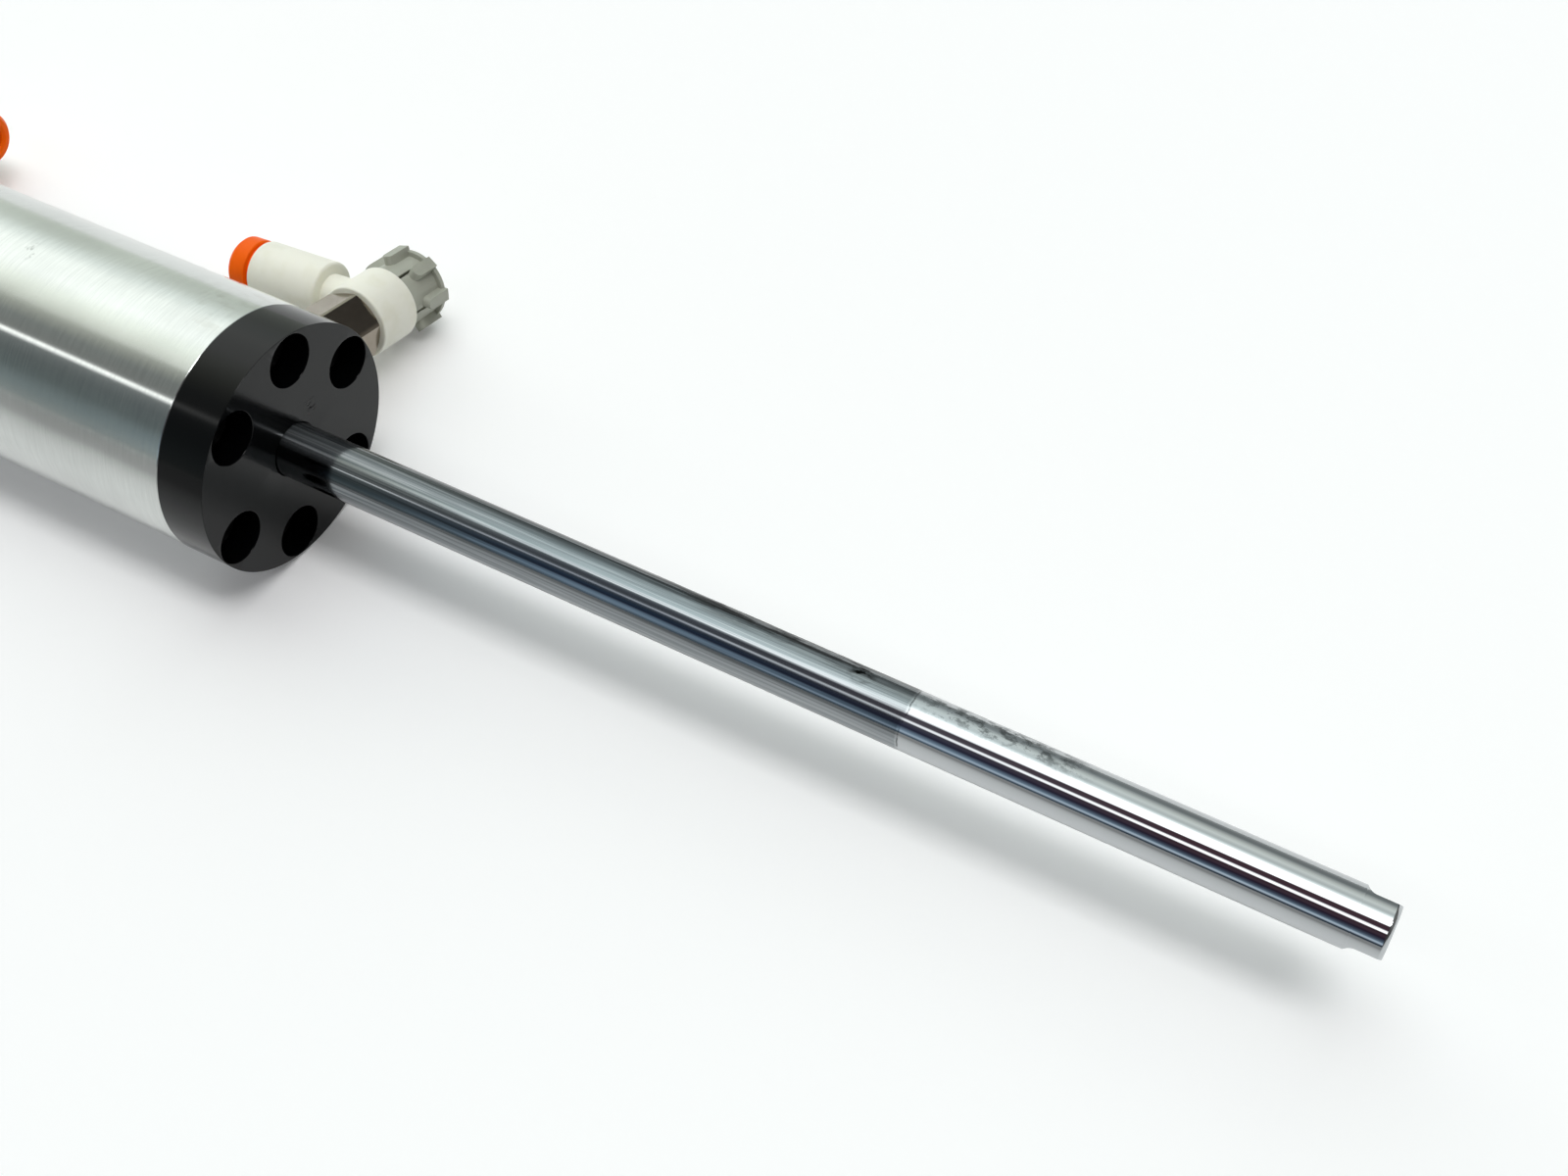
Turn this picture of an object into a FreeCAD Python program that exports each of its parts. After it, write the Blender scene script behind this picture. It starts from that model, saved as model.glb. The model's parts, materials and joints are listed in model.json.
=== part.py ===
import FreeCAD, Part
import Sketcher
import math
import os
from FreeCAD import Placement, Rotation, Vector

# Pneumatic round body cylinder with two elbow flow controls, in millimetres.
# The frame: origin at the centre of the front mounting face on the rod axis,
# +X along the rod towards its tip, +Z up, with the cylinder lying on a table
# on its barrel and on the two flow control knobs.

# Driving sizes, each written once. A radius is measured from the piece's own axis.
SIZES = {
    # Barrel and heads
    "bore_radius": 13.494,
    "barrel_wall": 8.731,
    "stroke": 114.3,
    "head_thickness": 9.2,
    "head_edge_chamfer": 0.15,
    "barrel_edge_chamfer": 0.3,
    "spigot_length": 5.0,
    "spigot_gap": 0.04,
    "boss_gap": 2.494,
    "boss_reach": 10.2,
    "stop_gap": 0.1,
    "oring_groove_depth": 1.5,
    "oring_groove_width": 2.2,
    "oring_groove_inset": 1.4,
    "oring_seat_gap": 0.02,
    # Head screws in their counterbored holes
    "counterbore_radius": 4.71,
    "counterbore_rim": 0.185,
    "counterbore_floor": 2.0,
    "screw_radius": 2.413,
    "screw_length": 12.7,
    "screw_head_radius": 3.96,
    "screw_head_height": 2.5,
    "screw_socket_flats": 3.0,
    "screw_socket_depth": 1.4,
    "screw_hole_gap": 0.2,
    "tapped_hole_gap": 0.03,
    "tapped_hole_spare": 1.8,
    "side_hole_angle": 55.05,
    # Rod, its wrench flats and the thread in its tip
    "rod_radius": 4.7625,
    "rod_reach": 73.5,
    "rod_tip_chamfer": 0.6,
    "flat_cut": 0.7925,
    "flat_length": 3.7,
    "flat_runout_radius": 1.82,
    "flat_angle": 47.8,
    "tip_thread_radius": 2.7,
    "tip_thread_depth": 16.0,
    "tip_countersink": 0.5,
    "rod_stub_radius": 3.175,
    "rod_stub_proud": 0.8,
    "sliding_gap": 0.05,
    "fitted_gap": 0.02,
    # Rod bushing and rod seal in the front head
    "rod_hole_gap": 0.6375,
    "rod_hole_land": 3.3,
    "rod_seal_thickness": 3.1775,
    "rod_seal_width": 3.6,
    "seal_side_gap": 0.05,
    "gland_wall": 1.5,
    "gland_wall_gap": 0.4375,
    "bushing_wall": 1.5875,
    # Piston, its rings, bumpers and nut
    "piston_thickness": 8.5,
    "piston_gap": 0.25,
    "piston_recess_rim": 1.3,
    "piston_recess_depth": 0.6,
    "piston_seal_width": 3.2,
    "piston_seal_depth": 3.194,
    "wear_ring_width": 2.6,
    "wear_ring_depth": 1.294,
    "wear_ring_split": 1.0,
    "bumper_proud": 1.6,
    "bumper_slot_width": 2.0,
    "bumper_slot_depth": 0.8,
    "nut_flats": 11.1,
    "nut_thickness": 5.0,
    "nut_chamfer": 0.5,
    "nut_room": 0.5,
    # Port in the barrel and the stem screwed into it
    "port_setback": 3.34,
    "port_drill_radius": 1.8,
    "port_floor": 1.406,
    "thread_radius": 4.8,
    "thread_proud": 0.175,
    "thread_taper": 0.03125,
    "port_thread_gap": 0.02,
    "stem_neck_radius": 4.5,
    "hex_standoff": 0.875,
    "hex_height": 14.15,
    "hex_flats": 12.0,
    "hex_chamfer_height": 0.7,
    "hex_chamfer_width": 1.1,
    "hex_angle": 100.0,
    "stem_collar_radius": 5.0,
    "stem_collar_height": 3.15,
    "stem_tube_wall": 1.1,
    "stem_bore_radius": 2.0,
    "orifice_lift": 1.4,
    "orifice_length": 1.2,
    "orifice_gap": 0.1,
    "needle_chamber_radius": 2.3,
    "stem_window_radius": 1.1,
    "stem_groove_lift": 0.95,
    "stem_groove_width": 1.6,
    "stem_groove_depth": 1.1,
    "check_seal_lift": 0.2,
    "check_seal_height": 1.6,
    # White elbow body with its arm
    "elbow_radius": 7.1,
    "elbow_gap": 0.15,
    "elbow_height": 9.6,
    "elbow_edge_round": 0.35,
    "elbow_roof": 1.2,
    "arm_drop": 2.6,
    "arm_wall": 1.15,
    "arm_lip": 2.2,
    "arm_edge_round": 0.6,
    "neck_length": 3.85,
    "neck_radius": 3.6,
    "arm_passage_radius": 1.9,
    "tube_stop_wall": 4.5,
    "tube_bore_radius": 3.3,
    "tube_seat_length": 2.2,
    "tube_seal_width": 2.3,
    "tube_seal_thickness": 1.1,
    "tube_seal_room": 0.5,
    "collet_wall": 1.35,
    "grip_width": 1.6,
    "front_swivel": -3.8,
    "rear_swivel": 4.5,
    # Release collet
    "collet_travel": 0.8,
    "collet_flange_thickness": 4.2,
    "collet_flange_inset": 0.2,
    "collet_flange_round": 0.7,
    "snap_lead": 0.15,
    "snap_bead_width": 0.6,
    "snap_bead_height": 0.25,
    # Needle guide, needle and knob
    "guide_flange_radius": 4.8,
    "guide_flange_height": 1.1,
    "guide_collar_radius": 3.3,
    "guide_collar_height": 1.0,
    "guide_plug_depth": 1.4,
    "needle_radius": 1.4,
    "needle_tip_radius": 0.6,
    "needle_tip_reach": 0.4,
    "needle_flat_cut": 0.05,
    "needle_hex_lift": 0.3,
    "needle_travel": 2.8,
    "drive_socket_gap": 0.15,
    "knob_gap": 0.35,
    "knob_height": 8.65,
    "knob_radius": 7.1,
    "knob_band_width": 1.2,
    "knob_skirt_inset": 0.9,
    "knob_wall": 1.0,
    "knob_roof": 1.1,
    "knob_edge_round": 0.5,
    "knob_boss_radius": 2.6,
    "knob_boss_gap": 0.7,
    "lobe_height": 0.8,
    "lobe_half_width": 1.15,
    "lobe_lift": 2.45,
    "lobe_angle": 122.8,
    "slit_half_width": 0.3,
    "slit_height": 3.85,
    "slit_angle": 112.0,
}
LOBE_COUNT = 7
SLIT_COUNT = 5

document = FreeCAD.newDocument("RoundBodyCylinder")
sheet = document.addObject("Spreadsheet::Sheet", "Sizes")
for row, (alias, number) in enumerate(SIZES.items(), start=1):
    sheet.set("A%d" % row, alias)
    sheet.set("B%d" % row, str(number))
    sheet.setAlias("B%d" % row, alias)
document.recompute()


class Size:
    """A number together with the spreadsheet expression that gives it."""

    def __init__(self, number, text):
        self.number = number
        self.text = text

    def __add__(self, other):
        other = as_size(other)
        return Size(self.number + other.number, "(%s + %s)" % (self.text, other.text))

    def __sub__(self, other):
        other = as_size(other)
        return Size(self.number - other.number, "(%s - %s)" % (self.text, other.text))

    def __mul__(self, other):
        other = as_size(other)
        return Size(self.number * other.number, "(%s * %s)" % (self.text, other.text))

    def __truediv__(self, other):
        other = as_size(other)
        return Size(self.number / other.number, "(%s / %s)" % (self.text, other.text))

    def __neg__(self):
        return as_size(0) - self

    def __radd__(self, other):
        return as_size(other) + self

    def __rsub__(self, other):
        return as_size(other) - self

    def __rmul__(self, other):
        return as_size(other) * self


def as_size(thing):
    """Make a plain number into a Size."""
    if isinstance(thing, Size):
        return thing
    return Size(float(thing), "%.9f" % thing)


def cell(alias):
    """The Size held by one cell of the sheet."""
    return Size(float(sheet.get(alias)), "Sizes.%s" % alias)


class Cells:
    """Every driving size as an attribute."""


s = Cells()
for alias in SIZES:
    setattr(s, alias, cell(alias))

HEX_CORNER = 2 / math.sqrt(3)
CUT_PAST = 1.0

# Sizes that follow from the driving ones: barrel and heads
body_radius = s.bore_radius + s.barrel_wall
boss_radius = s.bore_radius - s.boss_gap
boss_end = s.head_thickness + s.boss_reach
barrel_length = s.stroke + s.piston_thickness + 2 * (s.bumper_proud + s.stop_gap + s.boss_reach)
body_length = barrel_length + 2 * s.head_thickness
counterbore_depth = s.head_thickness - s.counterbore_floor
screw_circle_radius = body_radius - s.counterbore_rim - s.counterbore_radius
port_inset = s.head_thickness + s.spigot_length + s.port_setback
port_spacing = body_length - 2 * port_inset
gland_end = s.rod_hole_land + s.rod_seal_width
bushing_front = gland_end + s.gland_wall
bushing_radius = s.rod_radius + s.bushing_wall
rod_seal_radius = s.rod_radius + s.rod_seal_thickness

# Piston and rod, at the full stroke
rod_tip = s.stroke + s.rod_reach
piston_front = -(boss_end + s.stop_gap + s.bumper_proud)
piston_back = piston_front - s.piston_thickness
piston_recess_radius = boss_radius - s.piston_recess_rim
piston_seal_radius = s.bore_radius - s.piston_seal_depth
wear_ring_radius = s.bore_radius - s.wear_ring_depth
ring_land = (s.piston_thickness - s.piston_seal_width - s.wear_ring_width) / 3
rod_shoulder = piston_front - s.piston_recess_depth
nut_front = piston_back + s.piston_recess_depth
nut_back = nut_front - s.nut_thickness
nut_corner = s.nut_flats / 2 * HEX_CORNER
rod_end = nut_back - s.rod_stub_proud

# Heights along a valve, from the rod axis
stem_foot = s.bore_radius + s.port_floor
thread_top = body_radius + s.thread_proud
hex_bottom = body_radius + s.hex_standoff
hex_top = hex_bottom + s.hex_height
stem_groove_bottom = hex_top + s.stem_groove_lift
stem_collar_top = hex_top + s.stem_collar_height
orifice_bottom = stem_collar_top + s.orifice_lift
orifice_top = orifice_bottom + s.orifice_length
elbow_bottom = hex_top + s.elbow_gap
elbow_top = elbow_bottom + s.elbow_height
arm_height = elbow_top - s.arm_drop
stem_top = elbow_top + s.stop_gap
guide_flange_top = stem_top + s.guide_flange_height
guide_top = guide_flange_top + s.guide_collar_height
knob_bottom = elbow_top + s.knob_gap
knob_top = knob_bottom + s.knob_height
knob_ceiling = knob_top - s.knob_roof
knob_boss_bottom = guide_top + s.knob_boss_gap
needle_top = knob_ceiling - s.stop_gap - s.needle_travel

# Radii of a valve
stem_tube_radius = s.needle_chamber_radius + s.stem_tube_wall
stem_groove_radius = s.stem_collar_radius - s.stem_groove_depth
needle_flats = 2 * (s.needle_radius - s.needle_flat_cut)
lobe_radius = s.knob_radius + s.lobe_height
skirt_radius = s.knob_radius - s.knob_skirt_inset
tube_seal_radius = s.tube_bore_radius + s.tube_seal_thickness
collet_bore_radius = s.tube_bore_radius + s.collet_wall
arm_radius = collet_bore_radius + s.arm_wall

# Distances along an arm, from the valve's axis
arm_start = s.elbow_radius + s.neck_length
tube_stop = arm_start + s.tube_stop_wall
tube_seal_start = tube_stop + s.tube_seat_length
collet_bore_start = tube_seal_start + s.tube_seal_width + s.tube_seal_room
grip_start = collet_bore_start + s.seal_side_gap
grip_end = grip_start + s.grip_width
collet_start = grip_end + s.stop_gap + s.collet_travel
snap_groove_start = collet_start + s.snap_lead
snap_bead_start = snap_groove_start + s.stop_gap + s.collet_travel
snap_bead_end = snap_bead_start + s.snap_bead_width
snap_groove_end = snap_bead_end + s.stop_gap
arm_end = snap_groove_end + s.arm_lip
collet_flange_start = arm_end + s.stop_gap + s.collet_travel
collet_end = collet_flange_start + s.collet_flange_thickness


def table_tilt():
    """The angle below level at which the knobs touch the table.

    The table lies one body radius under the rod axis, and the lowest corner of
    a knob is on a lobe, beside its edge round.
    """
    edge = s.knob_edge_round.number
    high = knob_top.number
    out = lobe_radius.number
    angles = []
    for height, aside in ((high - edge, out), (high, out - edge)):
        touch = math.asin(body_radius.number / math.hypot(height, aside))
        angles.append(touch - math.atan2(aside, height))
    return min(angles)


TILT = table_tilt()
VALVE_DIRECTION = Vector(0, math.cos(TILT), -math.sin(TILT))
UP_ROUND_BARREL = Vector(0, math.sin(TILT), math.cos(TILT))
ROD_DIRECTION = Vector(1, 0, 0)


# Drawing sketches

def role_feature(body, role):
    """A plane or axis of the body's own origin."""
    return next(item for item in body.Origin.OriginFeatures if item.Role == role)


def step_towards(corner, other, radius):
    """The point a radius away from a corner, along the level or upright side to the other corner."""
    across = other[0].number - corner[0].number
    along = other[1].number - corner[1].number
    if abs(across) > abs(along):
        return (corner[0] + radius * math.copysign(1, across), corner[1])
    return (corner[0], corner[1] + radius * math.copysign(1, along))


def flat_point(pair):
    """A pair of Sizes as a point of the sketch plane."""
    return Vector(pair[0].number, pair[1].number, 0)


def rounded_corner(entry, leave, corner):
    """A quarter circle from the entry to the leaving point, and whether it starts at the entry."""
    centre = flat_point(entry) + flat_point(leave) - flat_point(corner)
    first = flat_point(entry) - centre
    last = flat_point(leave) - centre
    start = math.atan2(first.y, first.x)
    end = math.atan2(last.y, last.x)
    forward = (end - start) % (2 * math.pi) < math.pi
    if not forward:
        start, end = end, start
    circle = Part.Circle(centre, Vector(0, 0, 1), first.Length)
    return Part.ArcOfCircle(circle, start, end), forward


class Drawing:
    """A sketch on one of a body's own origin planes, with every point held by a size."""

    def __init__(self, body, name, role="XY_Plane", offset=None):
        self.sketch = body.newObject("Sketcher::SketchObject", name)
        self.sketch.AttachmentSupport = [(role_feature(body, role), "")]
        self.sketch.MapMode = "FlatFace"
        if offset is not None:
            offset = as_size(offset)
            self.sketch.AttachmentOffset = Placement(Vector(0, 0, offset.number), Rotation())
            self.sketch.setExpression("AttachmentOffset.Base.z", offset.text)

    def hold(self, constraint_type, target, value):
        """Bind a distance from the sketch origin, or a radius, to a size."""
        if constraint_type == "Radius":
            constraint = Sketcher.Constraint("Radius", target, value.number)
        else:
            constraint = Sketcher.Constraint(constraint_type, -1, 1, target[0], target[1], value.number)
        index = self.sketch.addConstraint(constraint)
        self.sketch.setExpression("Constraints[%d]" % index, value.text)

    def hold_point(self, geometry, end, pair):
        self.hold("DistanceX", (geometry, end), pair[0])
        self.hold("DistanceY", (geometry, end), pair[1])

    def axis(self, start, finish):
        """A construction line, drawn first, for a revolution to turn about."""
        start = [as_size(value) for value in start]
        finish = [as_size(value) for value in finish]
        line = self.sketch.addGeometry(Part.LineSegment(flat_point(start), flat_point(finish)), True)
        self.hold_point(line, 1, start)
        self.hold_point(line, 2, finish)
        return self

    def outline(self, corners):
        """A closed outline. A corner with a third value is rounded to that radius."""
        corners = [tuple(as_size(value) for value in corner) for corner in corners]
        stops = []
        for index, corner in enumerate(corners):
            if len(corner) == 2:
                stops.append((corner, corner))
                continue
            before = corners[index - 1]
            after = corners[(index + 1) % len(corners)]
            radius = corner[2]
            stops.append((step_towards(corner, before, radius), step_towards(corner, after, radius)))
        pieces = []
        for index, (entry, leave) in enumerate(stops):
            corner = corners[index]
            if len(corner) == 3:
                arc, forward = rounded_corner(entry, leave, corner)
                geometry = self.sketch.addGeometry(arc)
                first, last = (1, 2) if forward else (2, 1)
                self.hold("Radius", geometry, corner[2])
                pieces.append((geometry, first, last, entry))
            following = stops[(index + 1) % len(stops)][0]
            if (flat_point(following) - flat_point(leave)).Length > 1e-6:
                line = Part.LineSegment(flat_point(leave), flat_point(following))
                pieces.append((self.sketch.addGeometry(line), 1, 2, leave))
        for index, (geometry, first, last, place) in enumerate(pieces):
            before = pieces[index - 1]
            self.sketch.addConstraint(Sketcher.Constraint("Coincident", before[0], before[2], geometry, first))
            self.hold_point(geometry, first, place)
        return self

    def circle(self, across, along, radius):
        across, along, radius = as_size(across), as_size(along), as_size(radius)
        centre = Vector(across.number, along.number, 0)
        geometry = self.sketch.addGeometry(Part.Circle(centre, Vector(0, 0, 1), radius.number))
        self.hold_point(geometry, 3, (across, along))
        self.hold("Radius", geometry, radius)
        return self

    def hexagon(self, across, along, flats, turn=0.0):
        """A regular hexagon with its first corner at the turn angle, in degrees."""
        reach = as_size(flats) / 2 * HEX_CORNER
        corners = []
        for side in range(6):
            angle = math.radians(turn + 60 * side)
            corners.append((across + reach * math.cos(angle), along + reach * math.sin(angle)))
        return self.outline(corners)

    def rectangle(self, left, bottom, right, top):
        return self.outline([(left, bottom), (right, bottom), (right, top), (left, top)])


# Features of a body

cuts_to_check = []


def new_body(label):
    body = document.addObject("PartDesign::Body", label)
    body.Label = label
    return body


def revolve(body, drawing, cut=False, about="H_Axis"):
    kind = "Groove" if cut else "Revolution"
    feature = body.newObject("PartDesign::%s" % kind, kind)
    feature.Profile = drawing.sketch
    feature.ReferenceAxis = (drawing.sketch, [about])
    feature.Angle = 360
    return finish_feature(body, feature, cut)


def extrude(body, drawing, length, cut=False, backwards=False, both_ways=False):
    """A pad along the plane's normal, or a pocket against it, unless it goes backwards."""
    kind = "Pocket" if cut else "Pad"
    feature = body.newObject("PartDesign::%s" % kind, kind)
    feature.Profile = drawing.sketch
    length = as_size(length)
    feature.Length = length.number
    feature.setExpression("Length", length.text)
    feature.Reversed = backwards
    if both_ways:
        feature.Midplane = True
    return finish_feature(body, feature, cut)


def polar(body, feature, count, cut=False):
    """Copies of a feature, evenly spaced round the body's X axis."""
    pattern = body.newObject("PartDesign::PolarPattern", "PolarPattern")
    pattern.Originals = [feature]
    pattern.Axis = (role_feature(body, "X_Axis"), [""])
    pattern.Angle = 360
    pattern.Occurrences = count
    body.Tip = pattern
    if cut:
        cuts_to_check.append((feature, pattern))
    return pattern


def finish_feature(body, feature, cut):
    if cut:
        cuts_to_check.append((body.Tip if body.Tip != feature else feature.BaseFeature, feature))
    feature.Refine = True
    body.Tip = feature
    return feature


def turned(label, corners):
    """A body turned about its own X axis from one outline."""
    body = new_body(label)
    revolve(body, Drawing(body, "Profile").outline(corners))
    return body


def place(body, origin, first, second):
    """Set a body's own X axis along first and its Y axis along second, from a point on the rod axis."""
    rotation = Rotation(first, second, first.cross(second), "XYZ")
    body.Placement = Placement(Vector(*(as_size(value).number for value in origin)), rotation)
    for axis_name, value in zip("xyz", origin):
        body.setExpression("Placement.Base.%s" % axis_name, as_size(value).text)


def place_on_rod_axis(body, quarter=0.0):
    """Turn a body about the rod axis, so that its Y axis points along the valves, or past them."""
    turn = math.radians(quarter)
    second = VALVE_DIRECTION * math.cos(turn) + UP_ROUND_BARREL * math.sin(turn)
    place(body, (0, 0, 0), ROD_DIRECTION, second)


def screw_places():
    """The six screw places across the valve direction: unevenly spaced, clear of the port."""
    angles = []
    for side in (90.0, -90.0):
        for step in (-1, 0, 1):
            angles.append(side + step * s.side_hole_angle.number)
    radius = screw_circle_radius
    return [(radius * math.cos(math.radians(a)), radius * math.sin(math.radians(a))) for a in angles]


# Barrel and heads

def make_barrel():
    front = -s.head_thickness
    rear = front - barrel_length
    outer = body_radius
    edge = s.barrel_edge_chamfer
    body = turned("barrel", [
        (front, s.bore_radius + edge),
        (front, outer - edge),
        (front - edge, outer),
        (rear + edge, outer),
        (rear, outer - edge),
        (rear, s.bore_radius + edge),
        (rear + edge, s.bore_radius),
        (front - edge, s.bore_radius),
    ])
    depth = counterbore_depth + s.screw_length - s.head_thickness + s.tapped_hole_spare
    for offset, backwards in ((front, False), (rear, True)):
        holes = Drawing(body, "TappedHoles", "YZ_Plane", offset)
        for across, along in screw_places():
            holes.circle(across, along, s.screw_radius + s.tapped_hole_gap)
        extrude(body, holes, depth, cut=True, backwards=backwards)
    for port in (-port_inset, -port_inset - port_spacing):
        bottom = stem_foot - s.stop_gap
        foot = s.thread_radius + s.port_thread_gap
        mouth = foot + s.thread_taper * (hex_bottom - bottom)
        profile = Drawing(body, "PortProfile").axis((port, 0), (port, body_radius))
        profile.outline([
            (port, s.bore_radius - s.port_drill_radius),
            (port + s.port_drill_radius, s.bore_radius - s.port_drill_radius),
            (port + s.port_drill_radius, bottom),
            (port + foot, bottom),
            (port + mouth, hex_bottom),
            (port, hex_bottom),
        ])
        revolve(body, profile, cut=True, about="Axis0")
    place_on_rod_axis(body)
    return body


def head_outline(inward):
    """The outside of a head, from its outer face to the end of its boss."""
    outer = body_radius
    edge = s.head_edge_chamfer
    thick = s.head_thickness
    spigot = s.bore_radius - s.spigot_gap
    groove = thick + s.oring_groove_inset
    seat = s.bore_radius - s.oring_groove_depth
    lead = s.barrel_edge_chamfer
    return [
        (inward(0), outer - edge),
        (inward(edge), outer),
        (inward(thick - edge), outer),
        (inward(thick), outer - edge),
        (inward(thick), spigot),
        (inward(groove), spigot),
        (inward(groove), seat),
        (inward(groove + s.oring_groove_width), seat),
        (inward(groove + s.oring_groove_width), spigot),
        (inward(thick + s.spigot_length - lead), spigot),
        (inward(thick + s.spigot_length), spigot - lead),
        (inward(thick + s.spigot_length), boss_radius),
        (inward(boss_end), boss_radius),
    ]


def cut_screw_holes(body, face, backwards):
    """Six holes through the head, each with a counterbore from the outer face."""
    clearance = Drawing(body, "ScrewHoles", "YZ_Plane", face)
    counterbores = Drawing(body, "Counterbores", "YZ_Plane", face)
    for across, along in screw_places():
        clearance.circle(across, along, s.screw_radius + s.screw_hole_gap)
        counterbores.circle(across, along, s.counterbore_radius)
    extrude(body, clearance, s.head_thickness + s.stop_gap, cut=True, backwards=backwards)
    extrude(body, counterbores, counterbore_depth, cut=True, backwards=backwards)


def from_front(depth):
    return -as_size(depth)


def from_rear(depth):
    return as_size(depth) - body_length


def make_front_head():
    gland_wall_radius = s.rod_radius + s.gland_wall_gap
    rod_hole_radius = s.rod_radius + s.rod_hole_gap
    inside = [
        (boss_end, bushing_radius),
        (bushing_front, bushing_radius),
        (bushing_front, gland_wall_radius),
        (gland_end, gland_wall_radius),
        (gland_end, rod_seal_radius),
        (s.rod_hole_land, rod_seal_radius),
        (s.rod_hole_land, rod_hole_radius),
        (0, rod_hole_radius),
    ]
    corners = head_outline(from_front) + [(from_front(depth), radius) for depth, radius in inside]
    body = turned("front_head", corners)
    cut_screw_holes(body, 0, backwards=False)
    place_on_rod_axis(body)
    return body


def make_rear_head():
    recess_radius = nut_corner + s.nut_room
    recess_end = boss_end - (piston_back - rod_end)
    inside = [
        (boss_end, recess_radius),
        (recess_end, recess_radius),
        (recess_end, 0),
        (0, 0),
    ]
    corners = head_outline(from_rear) + [(from_rear(depth), radius) for depth, radius in inside]
    body = turned("rear_head", corners)
    cut_screw_holes(body, -body_length, backwards=True)
    place_on_rod_axis(body)
    return body


def make_head_screws(label, face, backwards):
    """Six low socket head screws as separate solids in one body."""
    outwards = -1 if backwards else 1
    seat = as_size(face) - outwards * counterbore_depth
    body = new_body(label)
    body.AllowCompound = True
    heads = Drawing(body, "Heads", "YZ_Plane", seat)
    shanks = Drawing(body, "Shanks", "YZ_Plane", seat)
    sockets = Drawing(body, "Sockets", "YZ_Plane", seat + outwards * s.screw_head_height)
    for across, along in screw_places():
        heads.circle(across, along, s.screw_head_radius)
        shanks.circle(across, along, s.screw_radius)
        sockets.hexagon(across, along, s.screw_socket_flats)
    extrude(body, heads, s.screw_head_height, backwards=backwards)
    extrude(body, shanks, s.screw_length, backwards=not backwards)
    extrude(body, sockets, s.screw_socket_depth, cut=True, backwards=backwards)
    place_on_rod_axis(body)
    return body


def make_ring(label, centre, middle_radius, section):
    """A ring of round section about the body's X axis."""
    body = new_body(label)
    revolve(body, Drawing(body, "Section").circle(centre, middle_radius, section))
    return body


def make_head_oring(label, inward):
    section = (s.oring_groove_depth - s.oring_seat_gap * 2) / 2
    centre = s.head_thickness + s.oring_groove_inset + s.oring_groove_width / 2
    middle = s.bore_radius - s.oring_groove_depth / 2
    body = make_ring(label, inward(centre), middle, section)
    place_on_rod_axis(body)
    return body


def make_rod_bushing():
    front = -bushing_front
    rear = -boss_end
    inner = s.rod_radius + s.sliding_gap
    outer = bushing_radius - s.fitted_gap
    lead = s.head_edge_chamfer
    body = turned("rod_bushing", [
        (front, inner + lead),
        (front, outer - lead),
        (front - lead, outer),
        (rear + lead, outer),
        (rear, outer - lead),
        (rear, inner + lead),
        (rear + lead, inner),
        (front - lead, inner),
    ])
    place_on_rod_axis(body)
    return body


def make_rod_seal():
    """A U-shaped ring whose mouth opens towards the pressure."""
    front = -s.rod_hole_land - s.seal_side_gap
    rear = s.seal_side_gap - gland_end
    inner = s.rod_radius + s.sliding_gap
    outer = rod_seal_radius - s.fitted_gap
    wall = (outer - inner) / 4
    heel = (front - rear) / 2
    body = turned("rod_seal", [
        (front, inner),
        (front, outer - wall),
        (rear + heel, outer),
        (rear, outer),
        (rear, outer - wall),
        (rear + heel, inner + wall * 2),
        (rear, inner + wall),
        (rear, inner),
    ])
    place_on_rod_axis(body)
    return body


# Piston and rod, which slide together

def make_piston_rod():
    """The ground rod with its threaded stub, tapped tip and two wrench flats across its own Y axis."""
    tip = rod_tip
    edge = s.rod_tip_chamfer
    thread_end = tip - s.tip_thread_depth
    body = turned("piston_rod", [
        (rod_end, 0),
        (rod_end, s.rod_stub_radius - edge),
        (rod_end + edge, s.rod_stub_radius),
        (rod_shoulder, s.rod_stub_radius),
        (rod_shoulder, s.rod_radius),
        (tip - edge, s.rod_radius),
        (tip, s.rod_radius - edge),
        (tip, s.tip_thread_radius + s.tip_countersink),
        (tip - s.tip_countersink, s.tip_thread_radius),
        (thread_end, s.tip_thread_radius),
        (thread_end - s.tip_thread_radius / 2, 0),
    ])
    runout = s.flat_runout_radius
    flat_start = tip - s.flat_length - runout
    flat = s.rod_radius - s.flat_cut
    outside = s.rod_radius + runout
    for side in (1, -1):
        flats = Drawing(body, "WrenchFlat")
        flats.outline([
            (flat_start, flat * side, runout),
            (flat_start, outside * side),
            (tip + edge, outside * side),
            (tip + edge, flat * side),
        ])
        extrude(body, flats, s.rod_radius * 4, cut=True, both_ways=True)
    place_on_rod_axis(body, s.flat_angle.number)
    return body


def make_piston():
    outer = s.bore_radius - s.piston_gap
    seal_front = piston_front - ring_land
    seal_back = seal_front - s.piston_seal_width
    ring_front = seal_back - ring_land
    ring_back = ring_front - s.wear_ring_width
    bore = s.rod_stub_radius + s.fitted_gap
    body = turned("piston", [
        (piston_front, piston_recess_radius),
        (piston_front, outer),
        (seal_front, outer),
        (seal_front, piston_seal_radius),
        (seal_back, piston_seal_radius),
        (seal_back, outer),
        (ring_front, outer),
        (ring_front, wear_ring_radius),
        (ring_back, wear_ring_radius),
        (ring_back, outer),
        (piston_back, outer),
        (piston_back, piston_recess_radius),
        (nut_front, piston_recess_radius),
        (nut_front, bore),
        (rod_shoulder, bore),
        (rod_shoulder, piston_recess_radius),
    ])
    place_on_rod_axis(body)
    return body


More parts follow.
